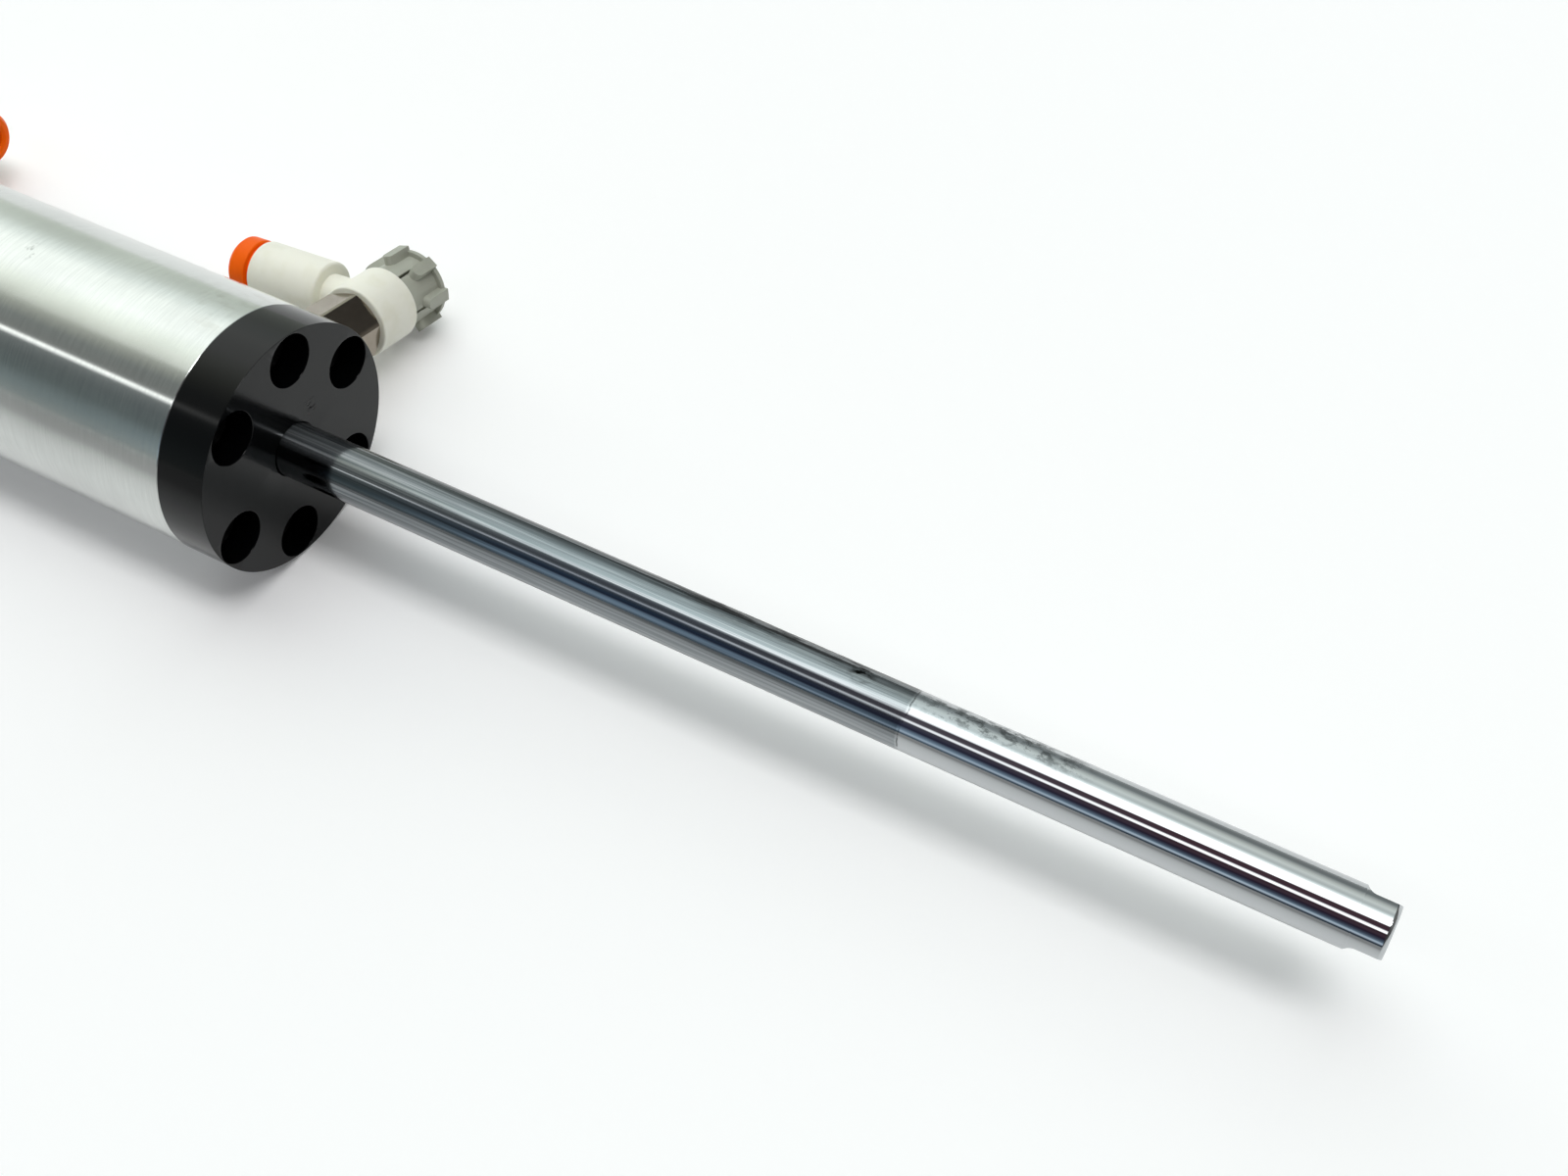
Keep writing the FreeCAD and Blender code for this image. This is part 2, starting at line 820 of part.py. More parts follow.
def make_piston_seal():
    """A double lipped ring in the front groove of the piston."""
    groove_front = piston_front - ring_land
    front = groove_front - s.seal_side_gap
    back = groove_front - s.piston_seal_width + s.seal_side_gap
    inner = piston_seal_radius + s.sliding_gap
    outer = s.bore_radius - s.sliding_gap
    quarter = (front - back) / 4
    shoulder = outer - quarter
    body = turned("piston_seal", [
        (front, inner),
        (front, shoulder),
        (front - quarter / 2, outer),
        (front - quarter, outer),
        (front - quarter * 2, shoulder),
        (back + quarter, outer),
        (back + quarter / 2, outer),
        (back, shoulder),
        (back, inner),
    ])
    place_on_rod_axis(body)
    return body


def make_wear_ring():
    """A plain strip ring in the rear groove of the piston, split at one place."""
    front = piston_front - 2 * ring_land - s.piston_seal_width - s.seal_side_gap
    back = front - s.wear_ring_width + 2 * s.seal_side_gap
    inner = wear_ring_radius + s.sliding_gap
    outer = s.bore_radius - s.sliding_gap
    body = turned("piston_wear_ring", [
        (front, inner),
        (front, outer),
        (back, outer),
        (back, inner),
    ])
    split = Drawing(body, "Split", "YZ_Plane", front)
    half = s.wear_ring_split / 2
    split.rectangle(0, -half, s.bore_radius, half)
    extrude(body, split, s.wear_ring_width, cut=True)
    place_on_rod_axis(body)
    return body


def make_bumper(label, face, seat, inner, backwards):
    """A soft ring seated in the piston's recess, with one slot across its face for air."""
    outer = piston_recess_radius - s.fitted_gap
    body = turned(label, [
        (seat, inner),
        (seat, outer),
        (face, outer),
        (face, inner),
    ])
    half = s.bumper_slot_width / 2
    slot = Drawing(body, "AirSlot", "YZ_Plane", face)
    slot.rectangle(-s.bore_radius, -half, s.bore_radius, half)
    extrude(body, slot, s.bumper_slot_depth, cut=True, backwards=backwards)
    place_on_rod_axis(body)
    return body


def make_piston_nut():
    """A hexagon nut: turned with chamfered corners, then cut to its six flats."""
    edge = s.nut_chamfer
    bore = s.rod_stub_radius + s.fitted_gap
    body = turned("piston_nut", [
        (nut_front, bore),
        (nut_front, nut_corner),
        (nut_back + edge, nut_corner),
        (nut_back, nut_corner - edge),
        (nut_back, bore),
    ])
    cut_to_hexagon(body, nut_back, s.nut_flats, s.nut_thickness)
    place_on_rod_axis(body)
    return body


def cut_to_hexagon(body, start, flats, length, turn=0.0):
    """Cut away everything outside a hexagon along a stretch of the body's X axis."""
    ring = Drawing(body, "HexagonFlats", "YZ_Plane", start)
    ring.circle(0, 0, flats)
    ring.hexagon(0, 0, flats, turn)
    extrude(body, ring, length, cut=True, backwards=True)


# Elbow flow control: heights run out from the rod axis along the valve's own axis

def make_valve_stem(label, origin):
    """Plated brass stem: tapered thread, hexagon, collar for the elbow, and a tube with the needle seat."""
    corner = s.hex_flats / 2 * HEX_CORNER
    groove_top = stem_groove_bottom + s.stem_groove_width
    orifice_radius = s.needle_radius + s.orifice_gap
    body = turned(label, [
        (stem_foot, s.stem_bore_radius),
        (stem_foot, s.thread_radius),
        (thread_top, s.thread_radius + s.thread_taper * (thread_top - stem_foot)),
        (thread_top, s.stem_neck_radius),
        (hex_bottom, s.stem_neck_radius),
        (hex_bottom, corner - s.hex_chamfer_width),
        (hex_bottom + s.hex_chamfer_height, corner),
        (hex_top - s.hex_chamfer_height, corner),
        (hex_top, corner - s.hex_chamfer_width),
        (hex_top, s.stem_collar_radius),
        (stem_groove_bottom, s.stem_collar_radius),
        (stem_groove_bottom, stem_groove_radius),
        (groove_top, stem_groove_radius),
        (groove_top, s.stem_collar_radius),
        (stem_collar_top, s.stem_collar_radius),
        (stem_collar_top, stem_tube_radius),
        (stem_top, stem_tube_radius),
        (stem_top, s.needle_chamber_radius),
        (orifice_top, s.needle_chamber_radius),
        (orifice_top, orifice_radius),
        (orifice_bottom, orifice_radius),
        (orifice_bottom, s.stem_bore_radius),
    ])
    cut_to_hexagon(body, hex_bottom, s.hex_flats, s.hex_height, s.hex_angle.number)
    window = Drawing(body, "Window").circle(arm_height, 0, s.stem_window_radius)
    extrude(body, window, stem_tube_radius * 4, cut=True, both_ways=True)
    place(body, origin, VALVE_DIRECTION, -ROD_DIRECTION)
    return body


def make_stem_oring(label, origin):
    outer = s.stem_collar_radius + s.sliding_gap
    section = (outer - stem_groove_radius) / 2 - s.oring_seat_gap
    centre = stem_groove_bottom + s.stem_groove_width / 2
    body = make_ring(label, centre, stem_groove_radius + s.oring_seat_gap + section, section)
    place(body, origin, VALVE_DIRECTION, -ROD_DIRECTION)
    return body


def make_check_seal(label, origin):
    """A lip ring on the stem's tube, which lets air past one way only."""
    inner = stem_tube_radius + s.fitted_gap
    outer = s.stem_collar_radius
    bottom = stem_collar_top + s.check_seal_lift
    top = bottom + s.check_seal_height
    wall = (outer - inner) / 3
    body = turned(label, [
        (bottom, inner),
        (bottom, outer - wall),
        (top - wall, outer),
        (top, outer),
        (top, outer - wall),
        (bottom + wall * 1.5, inner + wall),
        (top, inner + wall / 2),
        (top, inner),
    ])
    place(body, origin, VALVE_DIRECTION, -ROD_DIRECTION)
    return body


def make_elbow(label, origin, arm):
    """White moulded elbow: a round body on the stem and an arm with the tube socket."""
    round_edge = s.elbow_edge_round
    bore = s.stem_collar_radius + s.sliding_gap
    roof = elbow_top - s.elbow_roof
    body = turned(label, [
        (elbow_bottom, 0),
        (elbow_bottom, s.elbow_radius, round_edge),
        (elbow_top, s.elbow_radius, round_edge),
        (elbow_top, 0),
    ])
    high = arm_height
    neck_root = (bore + s.elbow_radius) / 2
    arm_profile = Drawing(body, "ArmProfile").axis((high, 0), (high, arm_end))
    arm_profile.outline([
        (high, neck_root),
        (high + s.neck_radius, neck_root),
        (high + s.neck_radius, arm_start),
        (high + arm_radius, arm_start, s.arm_edge_round),
        (high + arm_radius, arm_end, s.arm_edge_round),
        (high, arm_end),
    ])
    revolve(body, arm_profile, about="Axis0")
    over = s.elbow_radius + s.elbow_edge_round
    clearing = Drawing(body, "KnobClearing")
    clearing.rectangle(elbow_top, 0, high + s.neck_radius * 2, over)
    revolve(body, clearing, cut=True)
    inside = Drawing(body, "StemBore")
    inside.outline([
        (elbow_bottom - CUT_PAST, 0),
        (elbow_bottom - CUT_PAST, bore),
        (roof, bore),
        (roof, stem_tube_radius + s.seal_side_gap),
        (elbow_top + CUT_PAST, stem_tube_radius + s.seal_side_gap),
        (elbow_top + CUT_PAST, 0),
    ])
    revolve(body, inside, cut=True)
    socket = Drawing(body, "TubeSocket").axis((high, 0), (high, arm_end))
    snap_groove_radius = collet_bore_radius + s.snap_bead_height + s.sliding_gap
    steps = [
        (stem_tube_radius, s.arm_passage_radius),
        (tube_stop, s.arm_passage_radius),
        (tube_stop, s.tube_bore_radius),
        (tube_seal_start, s.tube_bore_radius),
        (tube_seal_start, tube_seal_radius),
        (collet_bore_start, tube_seal_radius),
        (collet_bore_start, collet_bore_radius),
        (snap_groove_start, collet_bore_radius),
        (snap_groove_start, snap_groove_radius),
        (snap_groove_end, snap_groove_radius),
        (snap_groove_end, collet_bore_radius),
        (arm_end + CUT_PAST, collet_bore_radius),
    ]
    start = (high, stem_tube_radius)
    finish = (high, arm_end + CUT_PAST)
    socket.outline([start] + [(high + radius, along) for along, radius in steps] + [finish])
    revolve(body, socket, cut=True, about="Axis0")
    place(body, origin, VALVE_DIRECTION, arm)
    return body


def make_needle_guide(label, origin):
    """Brass guide that closes the stem and carries the needle's thread."""
    inner = s.needle_radius + s.sliding_gap
    plug_bottom = stem_top - s.guide_plug_depth
    plug = s.needle_chamber_radius - s.fitted_gap
    body = turned(label, [
        (plug_bottom, inner),
        (plug_bottom, plug),
        (stem_top, plug),
        (stem_top, s.guide_flange_radius),
        (guide_flange_top, s.guide_flange_radius),
        (guide_flange_top, s.guide_collar_radius),
        (guide_top, s.guide_collar_radius),
        (guide_top, inner),
    ])
    place(body, origin, VALVE_DIRECTION, -ROD_DIRECTION)
    return body


def make_needle(label, origin):
    """Needle with a cone in the orifice and a hexagon that slides in the knob."""
    tip = orifice_bottom - s.needle_tip_reach
    hex_start = guide_top + s.needle_hex_lift
    body = turned(label, [
        (tip, 0),
        (tip, s.needle_tip_radius),
        (orifice_top, s.needle_radius),
        (needle_top, s.needle_radius),
        (needle_top, 0),
    ])
    cut_to_hexagon(body, hex_start, needle_flats, needle_top - hex_start)
    place_by_knob(body, origin)
    return body


def place_by_knob(body, origin):
    """Turn a piece about the valve axis so that a lobe of the knob lies over its own Z axis."""
    turn = math.radians(s.lobe_angle.number - 90)
    second = -ROD_DIRECTION * math.cos(turn) + UP_ROUND_BARREL * math.sin(turn)
    place(body, origin, VALVE_DIRECTION, second)


def make_knob(label, origin):
    """Ribbed knob: a cap with raised tongues that hang from its top band over a slit skirt.

    A drive socket inside turns the needle.
    """
    inner = skirt_radius - s.knob_wall
    band = knob_top - s.knob_band_width
    body = turned(label, [
        (knob_bottom, inner),
        (knob_bottom, skirt_radius),
        (band, skirt_radius),
        (band, s.knob_radius),
        (knob_top, s.knob_radius, s.knob_edge_round),
        (knob_top, 0),
        (knob_boss_bottom, 0),
        (knob_boss_bottom, s.knob_boss_radius),
        (knob_ceiling, s.knob_boss_radius),
        (knob_ceiling, inner),
    ])
    half = s.lobe_half_width
    low = knob_bottom + s.lobe_lift
    root = skirt_radius - s.knob_wall / 2
    lobe = Drawing(body, "Lobe", "XY_Plane", root)
    lobe.outline([
        (low, -half, half),
        (knob_top - s.knob_edge_round, -half),
        (knob_top - s.knob_edge_round, half),
        (low, half, half),
    ])
    polar(body, extrude(body, lobe, lobe_radius - root), LOBE_COUNT)
    turn = math.radians(s.slit_angle.number - s.lobe_angle.number + 90)
    slit = Drawing(body, "Slit", "YZ_Plane", knob_bottom)
    near = inner - s.knob_wall / 2
    corners = []
    for out, side in ((near, -1), (lobe_radius, -1), (lobe_radius, 1), (near, 1)):
        aside = s.slit_half_width * side
        across = out * math.cos(turn) - aside * math.sin(turn)
        along = out * math.sin(turn) + aside * math.cos(turn)
        corners.append((across, along))
    slit.outline(corners)
    cut = extrude(body, slit, s.slit_height, cut=True, backwards=True)
    polar(body, cut, SLIT_COUNT, cut=True)
    socket = Drawing(body, "DriveSocket", "YZ_Plane", knob_boss_bottom)
    socket.hexagon(0, 0, needle_flats + s.drive_socket_gap)
    extrude(body, socket, knob_ceiling - knob_boss_bottom, cut=True, backwards=True)
    place_by_knob(body, origin)
    return body


def make_release_collet(label, origin, arm):
    """Orange release ring: a rounded flange and a sleeve with a snap bead, bored for the tube."""
    sleeve = collet_bore_radius - s.sliding_gap
    bead = sleeve + s.snap_bead_height
    flange = arm_radius - s.collet_flange_inset
    round_edge = s.collet_flange_round
    body = turned(label, [
        (collet_start, s.tube_bore_radius),
        (collet_start, sleeve),
        (snap_bead_start, sleeve),
        (snap_bead_start, bead),
        (snap_bead_end, bead),
        (snap_bead_end, sleeve),
        (collet_flange_start, sleeve),
        (collet_flange_start, flange, round_edge / 2),
        (collet_end, flange, round_edge),
        (collet_end, s.tube_bore_radius),
    ])
    place_on_arm(body, origin, arm)
    return body


def place_on_arm(body, origin, arm):
    """Set a piece's X axis along the arm, at the arm's height."""
    centre = []
    for start, share in zip(origin, VALVE_DIRECTION):
        centre.append(start + arm_height * share)
    place(body, centre, arm, VALVE_DIRECTION)


def make_tube_grip(label, origin, arm):
    """Steel grip ring whose teeth lean inwards, between the seal and the collet."""
    outer = collet_bore_radius - s.fitted_gap
    inner = s.tube_bore_radius
    thick = s.grip_width / 4
    body = turned(label, [
        (grip_start, outer - thick),
        (grip_start, outer),
        (grip_end, outer),
        (grip_end, outer - thick),
        (grip_start + thick * 2, inner),
        (grip_start + thick, inner),
    ])
    place_on_arm(body, origin, arm)
    return body


def make_tube_seal(label, origin, arm):
    """Soft ring round the tube at the bottom of the socket."""
    start = tube_seal_start + s.seal_side_gap
    end = start + s.tube_seal_width
    outer = tube_seal_radius - s.fitted_gap
    lip = s.tube_seal_width / 4
    body = turned(label, [
        (start, s.tube_bore_radius),
        (start, outer),
        (end, outer),
        (end, s.tube_bore_radius + lip),
        (end - lip, s.tube_bore_radius),
    ])
    place_on_arm(body, origin, arm)
    return body


def make_valve(side, inset, arm_sense, swivel):
    """One flow control. The arm lies along the rod axis in the given sense, swivelled up or down."""
    origin = (inset, 0, 0)
    turn = math.radians(swivel)
    arm = ROD_DIRECTION * (arm_sense * math.cos(turn)) + UP_ROUND_BARREL * math.sin(turn)
    return [
        make_valve_stem(side + "_valve_stem", origin),
        make_stem_oring(side + "_stem_oring", origin),
        make_check_seal(side + "_check_seal", origin),
        make_elbow(side + "_elbow", origin, arm),
        make_needle_guide(side + "_needle_guide", origin),
        make_needle(side + "_needle", origin),
        make_knob(side + "_knob", origin),
        make_release_collet(side + "_release_collet", origin, arm),
        make_tube_grip(side + "_tube_grip", origin, arm),
        make_tube_seal(side + "_tube_seal", origin, arm),
    ]


def make_all():
    pieces = [
        make_barrel(),
        make_front_head(),
        make_rear_head(),
        make_head_oring("front_head_oring", from_front),
        make_head_oring("rear_head_oring", from_rear),
        make_head_screws("front_head_screws", 0, backwards=False),
        make_head_screws("rear_head_screws", -body_length, backwards=True),
        make_rod_bushing(),
        make_rod_seal(),
        make_piston_rod(),
        make_piston(),
        make_piston_seal(),
        make_wear_ring(),
        make_bumper("front_bumper", piston_front + s.bumper_proud, rod_shoulder,
                    s.rod_radius + s.fitted_gap, backwards=False),
        make_bumper("rear_bumper", piston_back - s.bumper_proud, nut_front,
                    nut_corner + s.nut_room, backwards=True),
        make_piston_nut(),
    ]
    pieces += make_valve("front", -port_inset, -1, s.front_swivel.number)
    pieces += make_valve("rear", -port_inset - port_spacing, 1, s.rear_swivel.number)
    return pieces


def check(parts):
    """Stop if a feature failed, a cut removed nothing or a shape isn't sound."""
    for item in document.Objects:
        if "Invalid" in item.State or "Error" in item.State:
            raise RuntimeError("%s failed: %s" % (item.Label, item.State))
    for before, after in cuts_to_check:
        if after.Shape.Volume >= before.Shape.Volume - 1e-6:
            raise RuntimeError("%s cuts nothing" % after.Label)
    for part in parts:
        if part.Shape.isNull() or not part.Shape.isValid():
            raise RuntimeError("%s has no sound shape" % part.Label)


def main():
    parts = make_all()
    document.recompute()
    check(parts)
    os.makedirs("parts", exist_ok=True)
    for part in parts:
        part.Shape.exportStep("parts/%s.step" % part.Label)
        print("%-20s %2d solid(s) %10.2f mm3" % (part.Label, len(part.Shape.Solids), part.Shape.Volume))


main()
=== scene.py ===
import json
import math

import bmesh
import bpy
import numpy as np
from bpy.props import FloatProperty, FloatVectorProperty, IntProperty, PointerProperty
from mathutils import Matrix, Vector
from mathutils.geometry import delaunay_2d_cdt

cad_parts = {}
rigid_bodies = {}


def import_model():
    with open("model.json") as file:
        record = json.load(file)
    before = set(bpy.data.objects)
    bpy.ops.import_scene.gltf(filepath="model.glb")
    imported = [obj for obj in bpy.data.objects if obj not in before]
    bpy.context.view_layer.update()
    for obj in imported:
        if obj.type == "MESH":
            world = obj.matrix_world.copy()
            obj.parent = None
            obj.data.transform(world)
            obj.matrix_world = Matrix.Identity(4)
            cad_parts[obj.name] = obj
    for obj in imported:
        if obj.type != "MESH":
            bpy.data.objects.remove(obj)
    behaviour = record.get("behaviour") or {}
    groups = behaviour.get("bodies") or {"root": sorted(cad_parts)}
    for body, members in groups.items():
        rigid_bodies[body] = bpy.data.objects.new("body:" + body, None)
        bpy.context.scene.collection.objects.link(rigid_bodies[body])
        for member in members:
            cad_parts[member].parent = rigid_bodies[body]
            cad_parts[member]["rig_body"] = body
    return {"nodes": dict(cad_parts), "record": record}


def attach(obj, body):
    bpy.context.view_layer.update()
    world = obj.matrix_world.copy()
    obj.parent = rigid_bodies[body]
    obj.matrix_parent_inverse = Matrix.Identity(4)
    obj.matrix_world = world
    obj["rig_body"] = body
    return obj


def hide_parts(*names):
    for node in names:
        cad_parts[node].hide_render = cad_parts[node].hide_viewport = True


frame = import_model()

bl_info = {
    "name": "Round Body Cylinder Dresser",
    "version": (1, 0, 0),
    "blender": (4, 5, 0),
    "location": "View3D > Sidebar > Cylinder",
    "description": "Turned, threaded and moulded surfaces and finishes for a pneumatic round body cylinder",
    "category": "Object",
}

# Sizes of the cylinder in metres. +X runs along the rod and the origin is the front face's centre.
MM = 0.001
BODY_RADIUS = 22.225 * MM
BORE_RADIUS = 13.494 * MM
BODY_LENGTH = 165.0 * MM
HEAD_THICKNESS = 9.2 * MM
SPIGOT_LENGTH = 5.0 * MM
BOSS_RADIUS = 11.0 * MM
BOSS_END = 19.4 * MM
ROD_HOLE_RADIUS = 5.4 * MM
ROD_LIP_RADIUS = 4.92 * MM
ROD_LIP_DEPTH = 0.8 * MM
NUT_RECESS_RADIUS = 6.909 * MM
NUT_RECESS_END = 13.9 * MM
BUSHING_START = 8.4 * MM
BUSHING_RADIUS = 6.35 * MM
HOLE_CIRCLE = 17.33 * MM
HOLE_RADIUS = 4.71 * MM
HOLE_DEPTH = 7.2 * MM
HOLE_STEP = 55.05
SCREW_HEAD_RADIUS = 3.96 * MM
SCREW_HEAD_HEIGHT = 2.5 * MM
SCREW_SHANK_RADIUS = 2.413 * MM
SCREW_LENGTH = 12.7 * MM
SCREW_FLATS = 3.0 * MM
SCREW_SOCKET_DEPTH = 1.4 * MM
ROD_RADIUS = 4.7625 * MM
ROD_TIP = 187.8 * MM
ROD_SHOULDER = -21.7 * MM
ROD_END = -34.8 * MM
ROD_STUB_RADIUS = 3.175 * MM
ROD_CHAMFER = 0.6 * MM
FLAT_DISTANCE = 3.97 * MM
FLAT_LENGTH = 3.7 * MM
FLAT_RUNOUT = 1.82 * MM
FLAT_ANGLE = 47.8
TIP_THREAD_RADIUS = 2.7 * MM
TIP_THREAD_DEPTH = 16.0 * MM
TIP_COUNTERSINK = 0.5 * MM
PORTS = {"front": -17.54 * MM, "rear": -147.46 * MM}
VALVE_TILT = 15.2555
ARM_HEIGHT = 44.4 * MM
ARM_SENSE = {"front": -1.0, "rear": 1.0}
ARM_SWIVEL = {"front": -3.8, "rear": 4.5}
HEX_BOTTOM = 23.1 * MM
HEX_TOP = 37.25 * MM
HEX_FLATS = 12.0 * MM
HEX_CHAMFER_HEIGHT = 0.7 * MM
HEX_CHAMFER_WIDTH = 1.1 * MM
HEX_ANGLE = 100.0
STEM_FOOT = 14.9 * MM
STEM_THREAD_TOP = 22.4 * MM
STEM_THREAD_RADIUS = 4.8 * MM
STEM_TAPER = 0.03125
STEM_NECK_RADIUS = 4.5 * MM
STEM_COLLAR_RADIUS = 5.0 * MM
STEM_TOP = 40.4 * MM
COLLET_START = 23.0 * MM
COLLET_FLANGE = 27.85 * MM
COLLET_END = 32.05 * MM
COLLET_RADIUS = 5.6 * MM
COLLET_SLEEVE = 4.6 * MM
TUBE_RADIUS = 3.3 * MM
SIDES = ("front", "rear")
SPIGOT_ROOM = 0.04 * MM
HEX_CORNER_WEAR = 0.04 * MM
STEM_THREAD_DEPTH = 0.55 * MM
TIP_THREAD_WAVE = 0.42 * MM
TABLE_HALF = 4.0
TABLE_DROP = 0.02 * MM
TABLE_WHITE = 0.96

# Places of the wear along the rod's axis, and its angles round it in degrees. The angle of the rod's darker
# valve side marks painted shade.
STAIN_RING = 115.6 * MM
GREASE_THICK_END = 60 * MM
SOOT = (72 * MM, 112 * MM)
SOOT_SPOT = (106.2 * MM, 1.55 * MM, 4.5 * MM)
# Painted shade: the angle round the rod where its greasy length is darkened
BLOTCHES = (117 * MM, 141 * MM)
VALVE_SIDE_SHADE_ANGLE = 46
LIT_SIDE = 86
FACE_SCUFF = (0.0, 5.9 * MM, 4.9 * MM)
BARREL_SCRATCH = (-50.1 * MM, 1.1 * MM, 22.2 * MM)
JOINT_SMUDGE = (-19 * MM, -9.2 * MM)

ALONG_ROD = Vector((1.0, 0.0, 0.0))
ALONG_VALVE = Vector((0.0, math.cos(math.radians(VALVE_TILT)), -math.sin(math.radians(VALVE_TILT))))
UP_ROUND = ALONG_ROD.cross(ALONG_VALVE)

# The room that the polished metal mirrors, as bands round the rod's axis: degrees from
# the valve side over the top to the viewer's side, and linear brightness. Long lamps hang
# beside and over the table, and their bands change with how far a direction leans along X.
ROOM_ACROSS = (
    (-1, 0.56, 0.59, 0.58), (3, 0.45, 0.48, 0.47), (12, 0.28, 0.3, 0.3), (24, 0.26, 0.29, 0.29),
    (33, 0.55, 0.59, 0.57), (42, 0.84, 0.9, 0.85), (51, 1.04, 1.11, 1.06), (63, 0.78, 0.85, 0.83),
    (68, 0.92, 1.01, 0.99), (74, 1.51, 1.62, 1.6), (79, 2.8, 2.8, 2.8), (104, 2.8, 2.8, 2.8),
    (106, 0.09, 0.05, 0.06), (121, 0.09, 0.05, 0.07), (125.5, 2.35, 2.35, 2.35),
    (130.5, 2.35, 2.35, 2.35), (132.5, 0.06, 0.03, 0.04), (142, 0.08, 0.05, 0.07),
    (150, 0.03, 0.02, 0.04), (158, 0.08, 0.1, 0.15), (164, 0.19, 0.27, 0.35), (167.5, 0.64, 0.78, 0.92),
    (171.5, 0.62, 0.73, 0.84), (174.5, 0.06, 0.08, 0.11), (180, 0.06, 0.08, 0.1),
)
ROOM_LEANING = (
    (-1, 0.32, 0.36, 0.36), (12, 0.34, 0.39, 0.39), (28, 0.61, 0.69, 0.7), (44, 0.94, 1.08, 1.08),
    (56, 1.09, 1.24, 1.24), (68, 1.37, 1.54, 1.54), (88, 1.94, 2.21, 2.18), (91, 2.51, 2.6, 2.6),
    (99, 2.51, 2.6, 2.6), (101.5, 0.31, 0.36, 0.38), (110, 0.13, 0.14, 0.17), (123, 0.18, 0.2, 0.22),
    (125, 0.9, 0.94, 1.03), (128.5, 0.9, 0.94, 1.03), (131, 0.13, 0.16, 0.2), (143, 0.04, 0.07, 0.12),
    (151, 0.03, 0.04, 0.08), (160, 0.3, 0.42, 0.55), (171, 0.43, 0.57, 0.72), (176, 0.2, 0.27, 0.34),
    (180, 0.16, 0.22, 0.27),
)
ROOM_FAR_ALONG = (
    (-1, 0.7, 0.76, 0.68), (10, 0.67, 0.73, 0.66), (22, 0.74, 0.8, 0.74), (34, 1.04, 1.12, 1.08),
    (46, 1.4, 1.46, 1.41), (68, 1.46, 1.51, 1.47), (80, 1.18, 1.24, 1.13), (92, 0.73, 0.77, 0.68),
    (102, 0.44, 0.46, 0.41), (112, 0.26, 0.28, 0.27), (125, 0.24, 0.25, 0.24),
    (126.2, 1.62, 1.65, 1.62), (128.8, 1.62, 1.65, 1.62), (130, 0.21, 0.23, 0.23),
    (142, 0.15, 0.17, 0.17), (154, 0.15, 0.18, 0.18), (168, 0.22, 0.26, 0.26), (180, 0.28, 0.31, 0.3),
)
ROOM_BEYOND_TIP = (
    (-1, 0.08, 0.08, 0.08), (85, 0.08, 0.08, 0.08), (86, 10, 10, 10), (98, 10, 10, 10),
    (99, 0.07, 0.07, 0.07), (180, 0.07, 0.07, 0.07),
)
ROOM_END = (
    (-1, 0.22, 0.22, 0.21), (60, 0.24, 0.24, 0.23), (120, 0.11, 0.11, 0.11), (180, 0.07, 0.07, 0.07),
)


def to_linear(hex_colour):
    """The linear RGB of an sRGB hex colour: v / 12.92 in the toe, else ((v + 0.055) / 1.055) ^ 2.4."""
    values = [int(hex_colour[i:i + 2], 16) / 255 for i in (0, 2, 4)]
    return tuple(v / 12.92 if v <= 0.04045 else ((v + 0.055) / 1.055) ** 2.4 for v in values)


# Settings that a user would change

class CylinderSizes(bpy.types.PropertyGroup):
    """Sizes of the details that the dressing adds."""

    edge_round: FloatProperty(
        name="Edge Round", description="Radius broken on the turned edges",
        default=0.12 * MM, min=0.0, subtype="DISTANCE", unit="LENGTH", precision=6)
    moulded_edge: FloatProperty(
        name="Moulded Edge", description="Radius on the edges of the moulded pieces",
        default=0.16 * MM, min=0.0, subtype="DISTANCE", unit="LENGTH", precision=6)
    port_pitch: FloatProperty(
        name="Port Thread Pitch", description="Pitch of the tapered thread under the hexagon",
        default=0.941 * MM, min=0.2 * MM, subtype="DISTANCE", unit="LENGTH", precision=6)
    tip_pitch: FloatProperty(
        name="Tip Thread Pitch", description="Pitch of the thread in the rod's tip",
        default=0.907 * MM, min=0.2 * MM, subtype="DISTANCE", unit="LENGTH", precision=6)
    knurl_depth: FloatProperty(
        name="Knurl Depth", description="Depth of the knurl on the head screws",
        default=0.09 * MM, min=0.0, subtype="DISTANCE", unit="LENGTH", precision=6)
    segments: IntProperty(
        name="Segments", description="Steps round the barrel and heads", default=256, min=48, max=512)


class CylinderColours(bpy.types.PropertyGroup):
    """Colours of the finishes."""

    aluminium: FloatVectorProperty(
        name="Clear Anodised", description="Barrel", subtype="COLOR", default=to_linear("DDE0DD"))
    anodised: FloatVectorProperty(
        name="Black Anodised", description="Heads", subtype="COLOR", default=to_linear("050607"))
    chrome: FloatVectorProperty(
        name="Hard Chrome", description="Rod", subtype="COLOR", default=to_linear("BABDBF"))
    plating: FloatVectorProperty(
        name="Nickel Plating", description="Valve hexagon", subtype="COLOR", default=to_linear("9A9184"))
    white: FloatVectorProperty(
        name="White Resin", description="Elbow", subtype="COLOR", default=to_linear("F2F1E4"))
    grey: FloatVectorProperty(
        name="Grey Resin", description="Knob", subtype="COLOR", default=to_linear("A9AB9E"))
    orange: FloatVectorProperty(
        name="Orange Resin", description="Release ring", subtype="COLOR", default=to_linear("FF6603"))


# Surfaces

